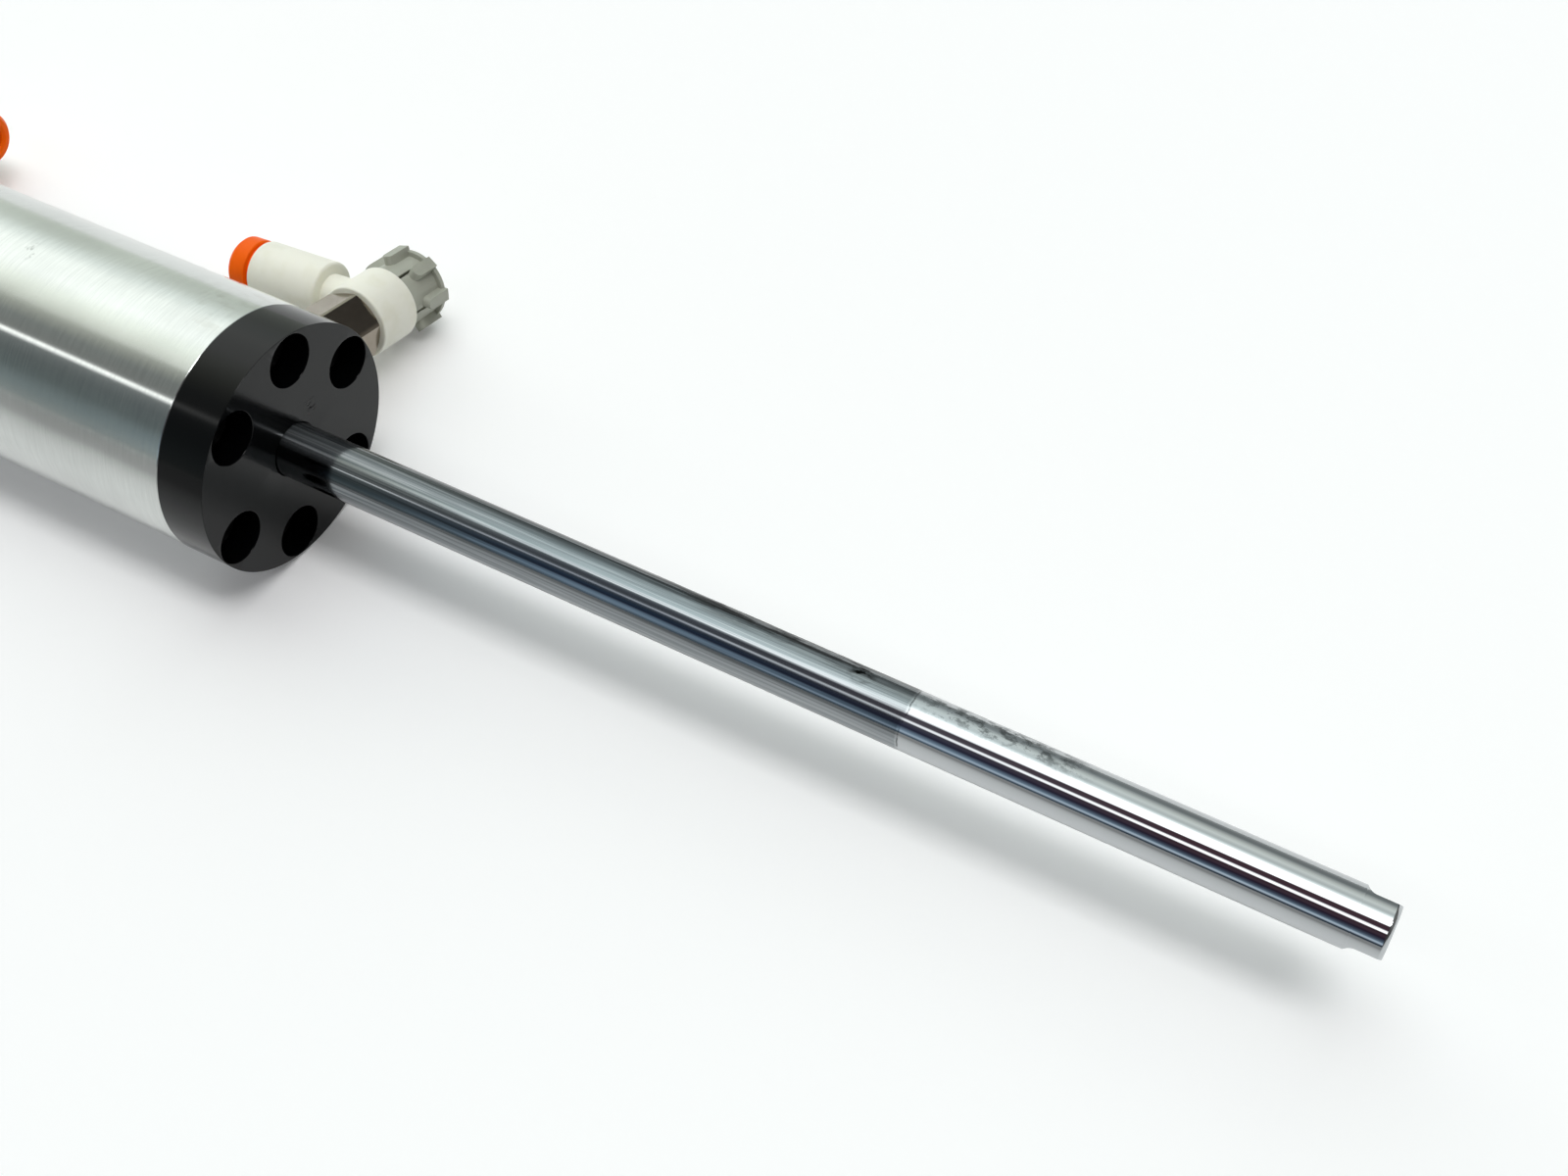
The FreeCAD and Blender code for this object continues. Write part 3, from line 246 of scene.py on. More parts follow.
def rounded(outline, steps=4):
    """Round the corners of a closed outline of (along, radius, edge) rows.

    With unit vectors a and b from a corner to its neighbours and h half the angle between
    them, the arc of radius e touches the sides at e / tan h and has its centre on the
    bisector at touch / cos h.
    """
    rows = np.array(outline, float)
    points = []
    for index, (along, radius, edge) in enumerate(rows):
        corner = rows[index, :2]
        before = rows[index - 1, :2] - corner
        after = rows[(index + 1) % len(rows), :2] - corner
        reach = min(np.linalg.norm(before), np.linalg.norm(after))
        if edge <= 0 or reach < 1e-9:
            points.append(corner)
            continue
        before = before / np.linalg.norm(before)
        after = after / np.linalg.norm(after)
        half = math.acos(np.clip(before @ after, -1, 1)) / 2
        touch = min(edge / math.tan(half), reach * 0.49)
        middle = before + after
        centre = corner + middle / np.linalg.norm(middle) * touch / math.cos(half)
        first = corner + before * touch - centre
        last = corner + after * touch - centre
        turn = math.pi - 2 * half
        share = np.linspace(0, 1, steps + 1)[:, None]
        arc = np.sin((1 - share) * turn) * first + np.sin(share * turn) * last
        points.extend(centre + arc / math.sin(turn))
    return np.array(points)


def angles(count):
    """Evenly spaced angles round a circle, without the last one, which is the first again."""
    return np.linspace(0, 2 * math.pi, count, endpoint=False)


def lathed(outline, segments):
    """A surface of revolution: (x, r cos a, r sin a) for every outline point (x, r) and angle a."""
    turn = angles(segments)
    along = np.repeat(outline[:, :1], segments, axis=1)
    return np.stack([along, outline[:, 1:] * np.cos(turn), outline[:, 1:] * np.sin(turn)], axis=-1)


def thread_wave(along, turn, pitch):
    """A truncated V thread from 0 at the root to 1 at the crest, one pitch along for each turn round."""
    phase = (along / pitch - turn / (2 * math.pi)) % 1.0
    return np.clip((1 - np.abs(2 * phase - 1)) * 1.5 - 0.25, 0, 1)


def axes(first, second):
    """The turn that takes a piece's own X and Y axes to two directions of the part."""
    third = first.cross(second)
    return np.array([first[:], second[:], third[:]])


class Shell:
    """Grids and triangles gathered into one closed mesh."""

    def __init__(self):
        self.points = []
        self.faces = []
        self.count = 0

    def add(self, points, faces):
        self.points.append(points.reshape(-1, 3))
        self.faces.extend((faces + self.count).tolist())
        self.count += self.points[-1].shape[0]
        return self

    def grid(self, points, close_rows=False):
        """Quads between neighbouring rows, with the last column joined to the first."""
        rows, columns = points.shape[:2]
        index = np.arange(rows * columns).reshape(rows, columns)
        below = index if close_rows else index[:-1]
        above = np.roll(index, -1, axis=0) if close_rows else index[1:]
        faces = np.stack([below, np.roll(below, -1, axis=1), np.roll(above, -1, axis=1), above], axis=-1)
        return self.add(points, faces.reshape(-1, 4))

    def turned(self, matrix):
        """The same shell with its own axes along the rows of the matrix."""
        self.points = [points @ matrix for points in self.points]
        return self

    def moved(self, place):
        self.points = [points + np.array(place) for points in self.points]
        return self

    def build(self, name, material, sharp=32.0):
        """Make the object: merge doubles, point the faces outwards and smooth all but sharp edges."""
        mesh = bpy.data.meshes.new(name)
        mesh.from_pydata(np.concatenate(self.points), [], self.faces)
        work = bmesh.new()
        work.from_mesh(mesh)
        bmesh.ops.remove_doubles(work, verts=work.verts, dist=1e-7)
        bmesh.ops.recalc_face_normals(work, faces=work.faces)
        work.to_mesh(mesh)
        work.free()
        return finish_object(name, mesh, material, sharp)


def finish_object(name, mesh, material, sharp, weighted=True):
    """Smooth all but the sharp edges. Weighted normals keep large faces true beside small rounds."""
    mesh.polygons.foreach_set("use_smooth", np.ones(len(mesh.polygons), bool))
    mesh.set_sharp_from_angle(angle=math.radians(sharp))
    mesh.materials.append(material)
    piece = bpy.data.objects.new(name, mesh)
    bpy.context.scene.collection.objects.link(piece)
    if weighted:
        normals = piece.modifiers.new("Normals", "WEIGHTED_NORMAL")
        normals.keep_sharp = True
    return piece


def put_on_end(shell, side):
    """Stand a shell made for the front face on its own end of the cylinder."""
    matrix = axes(ALONG_ROD, ALONG_VALVE)
    if side == "front":
        return shell.turned(matrix)
    return shell.turned(matrix * np.array([-1.0, 1.0, 1.0])).moved((-BODY_LENGTH, 0.0, 0.0))


def settle(piece, node):
    """Put a piece in its node's place: it rides on the same body, and the node is hidden."""
    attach(piece, frame["nodes"][node]["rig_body"])
    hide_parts(node)
    return piece


def hole_places():
    """Centres of the six counterbores, unevenly spaced so that none meets the port."""
    turn = np.radians([side + step * HOLE_STEP for side in (90, -90) for step in (-1, 0, 1)])
    return np.stack([np.cos(turn), np.sin(turn)], axis=1) * HOLE_CIRCLE


def pierced_plate(outer, holes):
    """Triangles that fill a circle except its holes, at x = 0. A row of holes is (y, z, radius, steps)."""
    loops = [(0.0, 0.0) + outer] + list(holes)
    points = []
    edges = []
    for across, up, radius, steps in loops:
        start = len(points)
        turn = angles(steps)
        ring = np.column_stack([across + radius * np.cos(turn), up + radius * np.sin(turn)])
        points += [Vector(point) / MM for point in ring]
        edges += [(start + i, start + (i + 1) % steps) for i in range(steps)]
    corners, _, triangles = delaunay_2d_cdt(points, edges, [], 0, 1e-6)[:3]
    flat = np.array([corner[:] for corner in corners]) * MM
    triangles = np.array(triangles)
    middle = flat[triangles].mean(axis=1)
    keep = np.hypot(middle[:, 0], middle[:, 1]) < outer[0]
    for across, up, radius, steps in holes:
        keep &= np.hypot(middle[:, 0] - across, middle[:, 1] - up) > radius * math.cos(math.pi / steps)
    return np.column_stack([np.zeros(len(flat)), flat]), triangles[keep]


# Materials

def add(tree, kind, inputs=None, stops=None, **settings):
    """Add one node with its settings, and give each input a link or a constant."""
    node = tree.nodes.new(kind)
    for name, value in settings.items():
        setattr(node, name, value)
    for name, value in (inputs or {}).items():
        socket = node.inputs[name]
        if isinstance(value, bpy.types.NodeSocket):
            tree.links.new(value, socket)
        else:
            socket.default_value = value
    if stops:
        ramp = node.color_ramp
        while len(ramp.elements) < len(stops):
            ramp.elements.new(1.0)
        for element, (position, colour) in zip(ramp.elements, stops):
            element.position = position
            element.color = tuple(colour) + (1.0,)
    return node


def new_material(name, **constants):
    """A material with one Principled shader, its constants set on the sockets."""
    material = bpy.data.materials.new(name)
    material.use_nodes = True
    tree = material.node_tree
    tree.nodes.clear()
    shader = add(tree, "ShaderNodeBsdfPrincipled")
    for socket, value in constants.items():
        shader.inputs[socket.replace("_", " ")].default_value = value
    add(tree, "ShaderNodeOutputMaterial", {"Surface": shader.outputs["BSDF"]})
    return material, tree, shader


def pattern(tree, scale, detail=3.0, rough=0.55, offset=(0.0, 0.0, 0.0)):
    """Noise whose cells measure 1 / scale metres along each axis of the piece."""
    place = add(tree, "ShaderNodeTexCoord").outputs["Object"]
    stretched = add(tree, "ShaderNodeMapping", {"Vector": place, "Scale": scale, "Location": offset})
    noise = add(tree, "ShaderNodeTexNoise", {
        "Vector": stretched.outputs["Vector"], "Scale": 1.0, "Detail": detail, "Roughness": rough})
    return noise.outputs["Fac"]


def remap(tree, value, low, high, to_low=0.0, to_high=1.0):
    """Carry a value from one range to another, held at both ends."""
    ends = {"From Min": low, "From Max": high, "To Min": to_low, "To Max": to_high}
    return add(tree, "ShaderNodeMapRange", {"Value": value, **ends}).outputs["Result"]


def tinted(tree, factor, first, second):
    """A colour between two others. Either may be a link or linear RGB."""
    colours = [c if isinstance(c, bpy.types.NodeSocket) else tuple(c) + (1.0,) for c in (first, second)]
    return add(tree, "ShaderNodeMix", {0: factor, 6: colours[0], 7: colours[1]}, data_type="RGBA").outputs[2]


def product(tree, *values):
    result = values[0]
    for value in values[1:]:
        result = add(tree, "ShaderNodeMath", {0: result, 1: value}, operation="MULTIPLY").outputs[0]
    return result


def relief(tree, shader, height, depth, strength=1.0):
    """Bump from a height of 0 to 1 that stands for a real depth in metres."""
    bump = add(tree, "ShaderNodeBump", {"Height": height, "Distance": depth, "Strength": strength})
    tree.links.new(bump.outputs["Normal"], shader.inputs["Normal"])


def wire(tree, shader, **links):
    for socket, value in links.items():
        tree.links.new(value, shader.inputs[socket.replace("_", " ")])


def near(tree, centre, reach):
    """1 at a point of the piece, falling to 0 at the reach."""
    place = add(tree, "ShaderNodeTexCoord").outputs["Object"]
    gap = add(tree, "ShaderNodeVectorMath", {0: place, 1: centre}, operation="DISTANCE").outputs["Value"]
    return remap(tree, gap, reach * 0.35, reach, 1.0, 0.0)


def along(tree, low, high, blur):
    """1 between two distances along the rod's axis, with blurred ends."""
    place = add(tree, "ShaderNodeTexCoord").outputs["Object"]
    x = add(tree, "ShaderNodeSeparateXYZ", {0: place}).outputs["X"]
    rise = remap(tree, x, low - blur, low + blur)
    fall = remap(tree, x, high - blur, high + blur, 1.0, 0.0)
    return product(tree, rise, fall)


def around(tree, degrees, spread):
    """1 where the surface faces an angle round the rod's axis, falling to 0 at the spread."""
    place = add(tree, "ShaderNodeTexCoord").outputs["Object"]
    flat = add(tree, "ShaderNodeVectorMath", {0: place, 1: (0.0, 1.0, 1.0)}, operation="MULTIPLY").outputs[0]
    unit = add(tree, "ShaderNodeVectorMath", {0: flat}, operation="NORMALIZE").outputs[0]
    facing = (0.0, math.cos(math.radians(degrees)), math.sin(math.radians(degrees)))
    share = add(tree, "ShaderNodeVectorMath", {0: unit, 1: facing}, operation="DOT_PRODUCT").outputs["Value"]
    return remap(tree, share, math.cos(math.radians(spread)), 1.0)


def clear_anodised_aluminium(colour):
    """Drawn aluminium tube, finished on a belt that ran round it, then clear anodised.

    The belt's fine lines run round the tube, so highlights spread along it and stay
    narrow across. Lines of about 0.02 mm are drawn 0.3 mm apart, so that they show.
    """
    material, tree, shader = new_material(
        "Clear_Anodised_Aluminium_Belt_Finished", Metallic=1.0, Anisotropic=1.0)
    lines = pattern(tree, (3300.0, 150.0, 150.0), 4.0, 0.7)
    clouds = pattern(tree, (45.0, 90.0, 90.0), 3.0)
    speck = pattern(tree, (1500.0, 1500.0, 1500.0), 2.0)
    base = tinted(tree, remap(tree, clouds, 0.35, 0.65), colour, [c * 0.9 for c in colour])
    base = tinted(tree, remap(tree, lines, 0.3, 0.75, 0.0, 0.35), base, [c * 0.62 for c in colour])
    joint = product(tree, along(tree, *JOINT_SMUDGE, 2.5 * MM), around(tree, 66, 40),
                    remap(tree, pattern(tree, (220.0, 420.0, 420.0), 4.0), 0.5, 0.66, 0.0, 0.22))
    base = tinted(tree, joint, base, to_linear("9C9A8C"))
    dents = product(tree, near(tree, BARREL_SCRATCH, 2.6 * MM),
                    remap(tree, pattern(tree, (900.0, 600.0, 600.0), 2.0), 0.54, 0.62, 0.0, 0.45))
    base = tinted(tree, dents, base, to_linear("6F7470"))
    rough = remap(tree, lines, 0.25, 0.75, 0.11, 0.17)
    wire(tree, shader, Base_Color=base, Roughness=rough)
    tangent = add(tree, "ShaderNodeCombineXYZ", {"X": 1.0})
    wire(tree, shader, Tangent=tangent.outputs[0])
    height = add(tree, "ShaderNodeMath", {0: lines, 1: speck}, operation="ADD").outputs[0]
    relief(tree, shader, height, 0.0015 * MM, 0.4)
    return material


def black_anodised_aluminium(colour):
    """Turned aluminium, dyed black in the anodising bath: a glassy oxide over fine turning rings."""
    material, tree, shader = new_material("Black_Anodised_Turned_Aluminium", IOR=1.5, Specular_IOR_Level=0.27)
    place = add(tree, "ShaderNodeTexCoord").outputs["Object"]
    parts = add(tree, "ShaderNodeSeparateXYZ", {0: place})
    flat = add(tree, "ShaderNodeCombineXYZ", {"Y": parts.outputs["Y"], "Z": parts.outputs["Z"]}).outputs[0]
    radius = add(tree, "ShaderNodeVectorMath", {0: flat}, operation="LENGTH").outputs["Value"]
    travel = add(tree, "ShaderNodeMath", {0: radius, 1: parts.outputs["X"]}, operation="SUBTRACT").outputs[0]
    rings = add(tree, "ShaderNodeTexNoise", {
        "W": travel, "Scale": 5000.0, "Detail": 3.0}, noise_dimensions="1D").outputs["Fac"]
    dust = pattern(tree, (2600.0, 2600.0, 2600.0), 2.0)
    base = tinted(tree, remap(tree, dust, 0.66, 0.8, 0.0, 0.25), colour, to_linear("1E2021"))
    mark = product(tree, near(tree, FACE_SCUFF, 2.2 * MM),
                   remap(tree, pattern(tree, (300.0, 380.0, 1500.0), 3.0), 0.5, 0.56))
    base = tinted(tree, mark, base, to_linear("020202"))
    shine = remap(tree, rings, 0.3, 0.7, 0.1, 0.17)
    rough = add(tree, "ShaderNodeMath", {0: shine, 1: mark}, operation="MAXIMUM").outputs[0]
    wire(tree, shader, Base_Color=base, Roughness=rough)
    relief(tree, shader, rings, 0.0012 * MM, 0.35)
    return material


def hard_chrome(colour):
    """Ground and hard chromed rod.

    Beyond the stroke's end it is a clean mirror. The length that slid through the seal is
    darkened by grease drawn out lengthwise, thickest near the head, with painted shade on its
    upper valve side, soot, and a stain ring where the seal rested.
    """
    material, tree, shader = new_material("Hard_Chrome_Ground_Greasy", Metallic=1.0)
    streaks = pattern(tree, (22.0, 2400.0, 2400.0), 4.0, 0.65)
    fine = pattern(tree, (60.0, 6000.0, 6000.0), 2.0, 0.5)
    wander = pattern(tree, (0.0, 260.0, 260.0), 2.0)
    place = add(tree, "ShaderNodeTexCoord").outputs["Object"]
    x = add(tree, "ShaderNodeSeparateXYZ", {0: place}).outputs["X"]
    edge = add(tree, "ShaderNodeMath", {0: wander, 1: 1.2 * MM, 2: x}, operation="MULTIPLY_ADD").outputs[0]
    greasy = remap(tree, edge, STAIN_RING - 0.5 * MM, STAIN_RING + 0.1 * MM, 1.0, 0.0)
    thick = product(tree, greasy, remap(tree, x, 4 * MM, GREASE_THICK_END, 1.0, 0.0))
    film = product(tree, greasy, remap(tree, streaks, 0.42, 0.58, 0.62, 1.0))
    base = tinted(tree, film, colour, to_linear("7D8285"))
    coat = product(tree, thick, remap(tree, streaks, 0.4, 0.6, 0.2, 1.0))
    base = tinted(tree, coat, base, to_linear("5C6265"))
    # Painted shade: the greasy length is darkened on its upper valve side, where it mirrors darker
    # surroundings
    valve_side_shade = product(tree, greasy, around(tree, VALVE_SIDE_SHADE_ANGLE, 40), remap(tree, streaks, 0.4, 0.56, 0.35, 1.0))
    base = tinted(tree, valve_side_shade, base, to_linear("2C3032"))
    soot = product(tree, along(tree, *SOOT, 9 * MM), around(tree, 50, 42),
                   remap(tree, pattern(tree, (110.0, 1300.0, 1300.0), 5.0, 0.7), 0.44, 0.56))
    base = tinted(tree, soot, base, to_linear("141517"))
    spot = product(tree, near(tree, SOOT_SPOT, 2.6 * MM),
                   remap(tree, pattern(tree, (500.0, 900.0, 900.0), 4.0), 0.42, 0.52))
    base = tinted(tree, spot, base, to_linear("050505"))
    ring = product(tree, remap(tree, edge, STAIN_RING - 0.15 * MM, STAIN_RING),
                   remap(tree, edge, STAIN_RING, STAIN_RING + 0.25 * MM, 1.0, 0.0),
                   remap(tree, pattern(tree, (0.0, 700.0, 700.0), 3.0), 0.4, 0.6, 0.1, 0.9))
    base = tinted(tree, ring, base, to_linear("1E2022"))
    blotch = product(tree, along(tree, *BLOTCHES, 3 * MM), around(tree, 68, 36),
                     remap(tree, pattern(tree, (420.0, 700.0, 700.0), 5.0, 0.7), 0.47, 0.57, 0.0, 0.85))
    base = tinted(tree, blotch, base, to_linear("484D4E"))
    haze = product(tree, greasy, remap(tree, streaks, 0.3, 0.7, 0.06, 0.15))
    clean = remap(tree, fine, 0.3, 0.7, 0.02, 0.04)
    rough = add(tree, "ShaderNodeMath", {0: haze, 1: clean}, operation="MAXIMUM").outputs[0]
    dirty = add(tree, "ShaderNodeMath", {0: blotch, 1: soot}, operation="MAXIMUM").outputs[0]
    rough = add(tree, "ShaderNodeMath", {0: dirty, 1: 0.4, 2: rough}, operation="MULTIPLY_ADD").outputs[0]
    metal = remap(tree, product(tree, thick, around(tree, LIT_SIDE, 42)), 0.0, 1.0, 1.0, 0.6)
    wire(tree, shader, Base_Color=base, Roughness=rough, Metallic=metal)
    relief(tree, shader, streaks, 0.002 * MM, 0.25)
    return material


def nickel_plated_brass(colour):
    """Bar brass, turned and nickel plated: a soft warm grey mirror with patches of brown tarnish."""
    material, tree, shader = new_material("Nickel_Plated_Brass_Bar", Metallic=1.0)
    tarnish = pattern(tree, (200.0, 200.0, 200.0), 3.0)
    lines = pattern(tree, (3000.0, 900.0, 900.0), 3.0)
    base = tinted(tree, remap(tree, tarnish, 0.4, 0.75, 0.0, 0.35), colour, to_linear("6E6354"))
    wire(tree, shader, Base_Color=base, Roughness=remap(tree, lines, 0.25, 0.75, 0.14, 0.24))
    relief(tree, shader, lines, 0.002 * MM, 0.35)
    return material


def moulded_resin(name, colour, shade, rough, glow=0.0, cell=0.25 * MM, sheen=0.5):
    """Injection moulded resin: a fine spark-eroded skin, a little light inside, and handling grime.

    The skin's grain of about 0.05 mm is drawn at the cell's size so that it shows.
    """
    material, tree, shader = new_material(
        name, Specular_IOR_Level=sheen, Subsurface_Weight=glow, Subsurface_Scale=0.8 * MM,
        Subsurface_Radius=(1.0, 0.9, 0.7))
    skin = pattern(tree, (1 / cell,) * 3, 3.0, 0.6)
    grime = pattern(tree, (160.0, 160.0, 160.0), 4.0)
    base = tinted(tree, remap(tree, grime, 0.5, 0.78, 0.0, 0.55), colour, shade)
    wire(tree, shader, Base_Color=base, Roughness=remap(tree, skin, 0.3, 0.7, rough - 0.06, rough + 0.1))
    relief(tree, shader, skin, 0.01 * MM, 0.45)
    return material


def turned_metal(name, hex_colour, worn_hex, rough):
    """A turned or pressed metal piece inside the cylinder: fine tool lines and a film of oil."""
    material, tree, shader = new_material(name, Metallic=1.0)
    lines = pattern(tree, (4000.0, 500.0, 500.0), 3.0)
    stain = pattern(tree, (300.0, 300.0, 300.0), 3.0)
    base = tinted(tree, remap(tree, stain, 0.4, 0.7, 0.0, 0.7), to_linear(hex_colour), to_linear(worn_hex))
    wire(tree, shader, Base_Color=base, Roughness=remap(tree, lines, 0.3, 0.7, rough - 0.08, rough + 0.08))
    relief(tree, shader, lines, 0.005 * MM, 0.5)
    return material


def moulded_seal(name, hex_colour, bloom_hex, rough):
    """Moulded rubber or polymer: matt, with a pale bloom and a faint mould grain."""
    material, tree, shader = new_material(name)
    bloom = pattern(tree, (500.0, 500.0, 500.0), 4.0)
    grain = pattern(tree, (5000.0, 5000.0, 5000.0), 2.0)
    base = tinted(tree, remap(tree, bloom, 0.5, 0.75, 0.0, 0.6), to_linear(hex_colour), to_linear(bloom_hex))
    wire(tree, shader, Base_Color=base, Roughness=remap(tree, grain, 0.3, 0.7, rough - 0.1, rough + 0.1))
    relief(tree, shader, grain, 0.006 * MM, 0.4)
    return material


def make_materials(colours):
    """All the finishes, by the record's slots."""
    white, grey, orange = tuple(colours.white), tuple(colours.grey), tuple(colours.orange)
    return {
        "barrel_aluminium": clear_anodised_aluminium(tuple(colours.aluminium)),
        "black_anodised": black_anodised_aluminium(tuple(colours.anodised)),
        "chromed_rod": hard_chrome(tuple(colours.chrome)),
        "plated_brass": nickel_plated_brass(tuple(colours.plating)),
        "white_resin": moulded_resin(
            "White_Polybutylene_Moulded", white, to_linear("DEDCC4"), 0.36, glow=0.12),
        "grey_resin": moulded_resin("Grey_Acetal_Moulded", grey, to_linear("8C8E80"), 0.42),
        "orange_resin": moulded_resin("Orange_Acetal_Moulded", orange, to_linear("F25A06"), 0.4, sheen=0.12),
        # Alloy steel screws, blackened in hot oxide: satin black with bare steel wear
        "black_screw_steel": turned_metal("Black_Oxide_Alloy_Steel", "2A2A2B", "161617", 0.42),
        # Sintered bronze, oily
        "bushing_bronze": turned_metal("Sintered_Bronze_Oiled", "B08A4A", "7E5F30", 0.4),
        # Turned bare aluminium
        "piston_aluminium": turned_metal("Turned_Aluminium", "C9CCCE", "9EA2A6", 0.3),
        # Zinc plated steel nut with a faint yellow passivate
        "plated_nut": turned_metal("Zinc_Plated_Steel", "C2C0B0", "99958A", 0.3),
        # Free cutting brass, as turned
        "bare_brass": turned_metal("Free_Cutting_Brass", "D3B36A", "A8853F", 0.25),
        # Stainless strip, pressed
        "spring_steel": turned_metal("Pressed_Stainless_Strip", "BFC1C2", "8F9294", 0.22),
        # Moulded nitrile rubber
        "seal_rubber": moulded_seal("Moulded_Nitrile", "1D1D1F", "333335", 0.55),
        # Filled low friction polymer strip
        "wear_strip": moulded_seal("Filled_Polymer_Strip", "33443B", "4C5E52", 0.5),
        # Amber polyurethane
        "bumper_polymer": moulded_seal("Moulded_Polyurethane", "5E4A28", "7A633C", 0.45),
    }


MATERIALS = {}


# One operator for each piece or group of like pieces

class CYLINDER_OT_finishes(bpy.types.Operator):
    """Make the finishes and give every node its own"""

    bl_idname = "cylinder.finishes"
    bl_label = "Make Finishes"

    def execute(self, context):
        MATERIALS.update(make_materials(context.scene.cylinder_colours))
        for part in frame["record"]["subparts"]:
            mesh = frame["nodes"][part["node"]].data
            mesh.materials.clear()
            mesh.materials.append(MATERIALS[part["material_slot"]])
        return {"FINISHED"}


class CYLINDER_OT_barrel(bpy.types.Operator):
    """Turn the barrel's tube"""

    bl_idname = "cylinder.barrel"
    bl_label = "Turn Barrel"

    def execute(self, context):
        sizes = context.scene.cylinder_sizes
        front, rear = -HEAD_THICKNESS, HEAD_THICKNESS - BODY_LENGTH
        edge = sizes.edge_round * 2
        outline = rounded([
            (front, BORE_RADIUS, edge), (front, BODY_RADIUS, edge),
            (rear, BODY_RADIUS, edge), (rear, BORE_RADIUS, edge)])
        shell = Shell().grid(lathed(outline, sizes.segments), close_rows=True)
        settle(shell.build("barrel_tube", MATERIALS["barrel_aluminium"]), "barrel")
        return {"FINISHED"}


class CYLINDER_OT_heads(bpy.types.Operator):
    """Turn both heads and counterbore their six screw holes"""

    bl_idname = "cylinder.heads"
    bl_label = "Turn Heads"

    def execute(self, context):
        sizes = context.scene.cylinder_sizes
        for side, opening in (("front", ROD_HOLE_RADIUS), ("rear", 0.0)):
            shell = put_on_end(self.head(sizes, opening), side)
            piece = shell.build(side + "_head_turned", MATERIALS["black_anodised"])
            settle(piece, side + "_head")
        return {"FINISHED"}

    def head(self, sizes, opening):
        """A head whose face is at x = 0 and whose boss runs towards -X."""
        land = sizes.edge_round * 0.5
        segments = sizes.segments
        spigot = BORE_RADIUS - SPIGOT_ROOM
        step = -HEAD_THICKNESS - SPIGOT_LENGTH
        rim = [(0.0, BODY_RADIUS, land), (-HEAD_THICKNESS, BODY_RADIUS, land), (-HEAD_THICKNESS, spigot, 0.0),
               (step, spigot, land), (step, BOSS_RADIUS, 0.0), (-BOSS_END, BOSS_RADIUS, land)]
        if opening:
            inside = [(-BOSS_END, BUSHING_RADIUS, 0.0), (-BUSHING_START, BUSHING_RADIUS, 0.0),
                      (-BUSHING_START, opening, 0.0), (-ROD_LIP_DEPTH, opening, land),
                      (-ROD_LIP_DEPTH, ROD_LIP_RADIUS, land), (0.0, ROD_LIP_RADIUS, land)]
        else:
            inside = [(-BOSS_END, NUT_RECESS_RADIUS, 0.0), (-NUT_RECESS_END, NUT_RECESS_RADIUS, 0.0),
                      (-NUT_RECESS_END, 0.0, 0.0), (0.0, 0.0, 0.0)]
        outline = rounded(rim + inside)
        if opening:
            # The face itself is filled by the pierced plate, so the outline starts and ends on it.
            on_face = np.flatnonzero(np.abs(outline[:, 0]) < 1e-9)
            outer, inner = outline[on_face[0]], outline[on_face[-1]]
            shell = Shell().grid(lathed(outline, segments))
        else:
            outer, inner = outline[0], None
            shell = Shell().grid(lathed(outline[:-1], segments))
        steps = 96
        lead = sizes.edge_round
        holes = [(y, z, HOLE_RADIUS + lead, steps) for y, z in hole_places()]
        if inner is not None:
            holes.append((0.0, 0.0, inner[1], segments))
        shell.add(*pierced_plate((outer[1], segments), holes))
        wall = rounded([(0.0, HOLE_RADIUS * 2, 0.0), (0.0, HOLE_RADIUS, lead),
                        (-HOLE_DEPTH, HOLE_RADIUS, land), (-HOLE_DEPTH, 0.0, 0.0)])[1:]
        pocket = lathed(wall, steps)
        for y, z in hole_places():
            shell.grid(pocket + np.array([0.0, y, z]))
        return shell


class CYLINDER_OT_screws(bpy.types.Operator):
    """Make the socket head screws that lie deep in the counterbores"""

    bl_idname = "cylinder.screws"
    bl_label = "Make Head Screws"

    def execute(self, context):
        sizes = context.scene.cylinder_sizes
        screw = self.screw(sizes.knurl_depth, sizes.edge_round)
        for side in SIDES:
            shell = Shell()
            for y, z in hole_places():
                shell.grid(screw + np.array([-HOLE_DEPTH, y, z]))
            piece = put_on_end(shell, side).build(side + "_socket_screws", MATERIALS["black_screw_steel"])
            settle(piece, side + "_head_screws")
        return {"FINISHED"}

    def screw(self, knurl, edge):
        """Rings of one screw, from its socket's floor over the knurled head to its point.

        A hexagon ring has radius (flats / 2) / cos(angle from the nearest side's middle),
        and a knurled ring takes the knurl's depth off every other column.
        """
        columns = 72
        turn = angles(columns)
        sector = math.pi / 3
        hexagon = SCREW_FLATS / 2 / np.cos((turn + sector / 2) % sector - sector / 2)
        ribbed = SCREW_HEAD_RADIUS - knurl * (np.arange(columns) % 2)
        plain = np.ones(columns)
        top = SCREW_HEAD_HEIGHT
        lead = edge * 2
        floor = top - SCREW_SOCKET_DEPTH
        rings = [
            (floor - 0.5 * MM, plain * 0.0), (floor, hexagon), (top, hexagon),
            (top, plain * (SCREW_HEAD_RADIUS - lead)),
            (top - lead * 0.6, plain * (SCREW_HEAD_RADIUS - lead * 0.3)), (top - lead, ribbed),
            (lead, ribbed), (0.0, plain * (SCREW_HEAD_RADIUS - lead)),
            (0.0, plain * SCREW_SHANK_RADIUS), (-SCREW_LENGTH + lead, plain * SCREW_SHANK_RADIUS),
            (-SCREW_LENGTH, plain * (SCREW_SHANK_RADIUS - lead)), (-SCREW_LENGTH, plain * 0.0)]
        x = np.array([ring[0] for ring in rings])[:, None] * plain
        radius = np.array([ring[1] for ring in rings])
        return np.stack([x, radius * np.cos(turn), radius * np.sin(turn)], axis=-1)


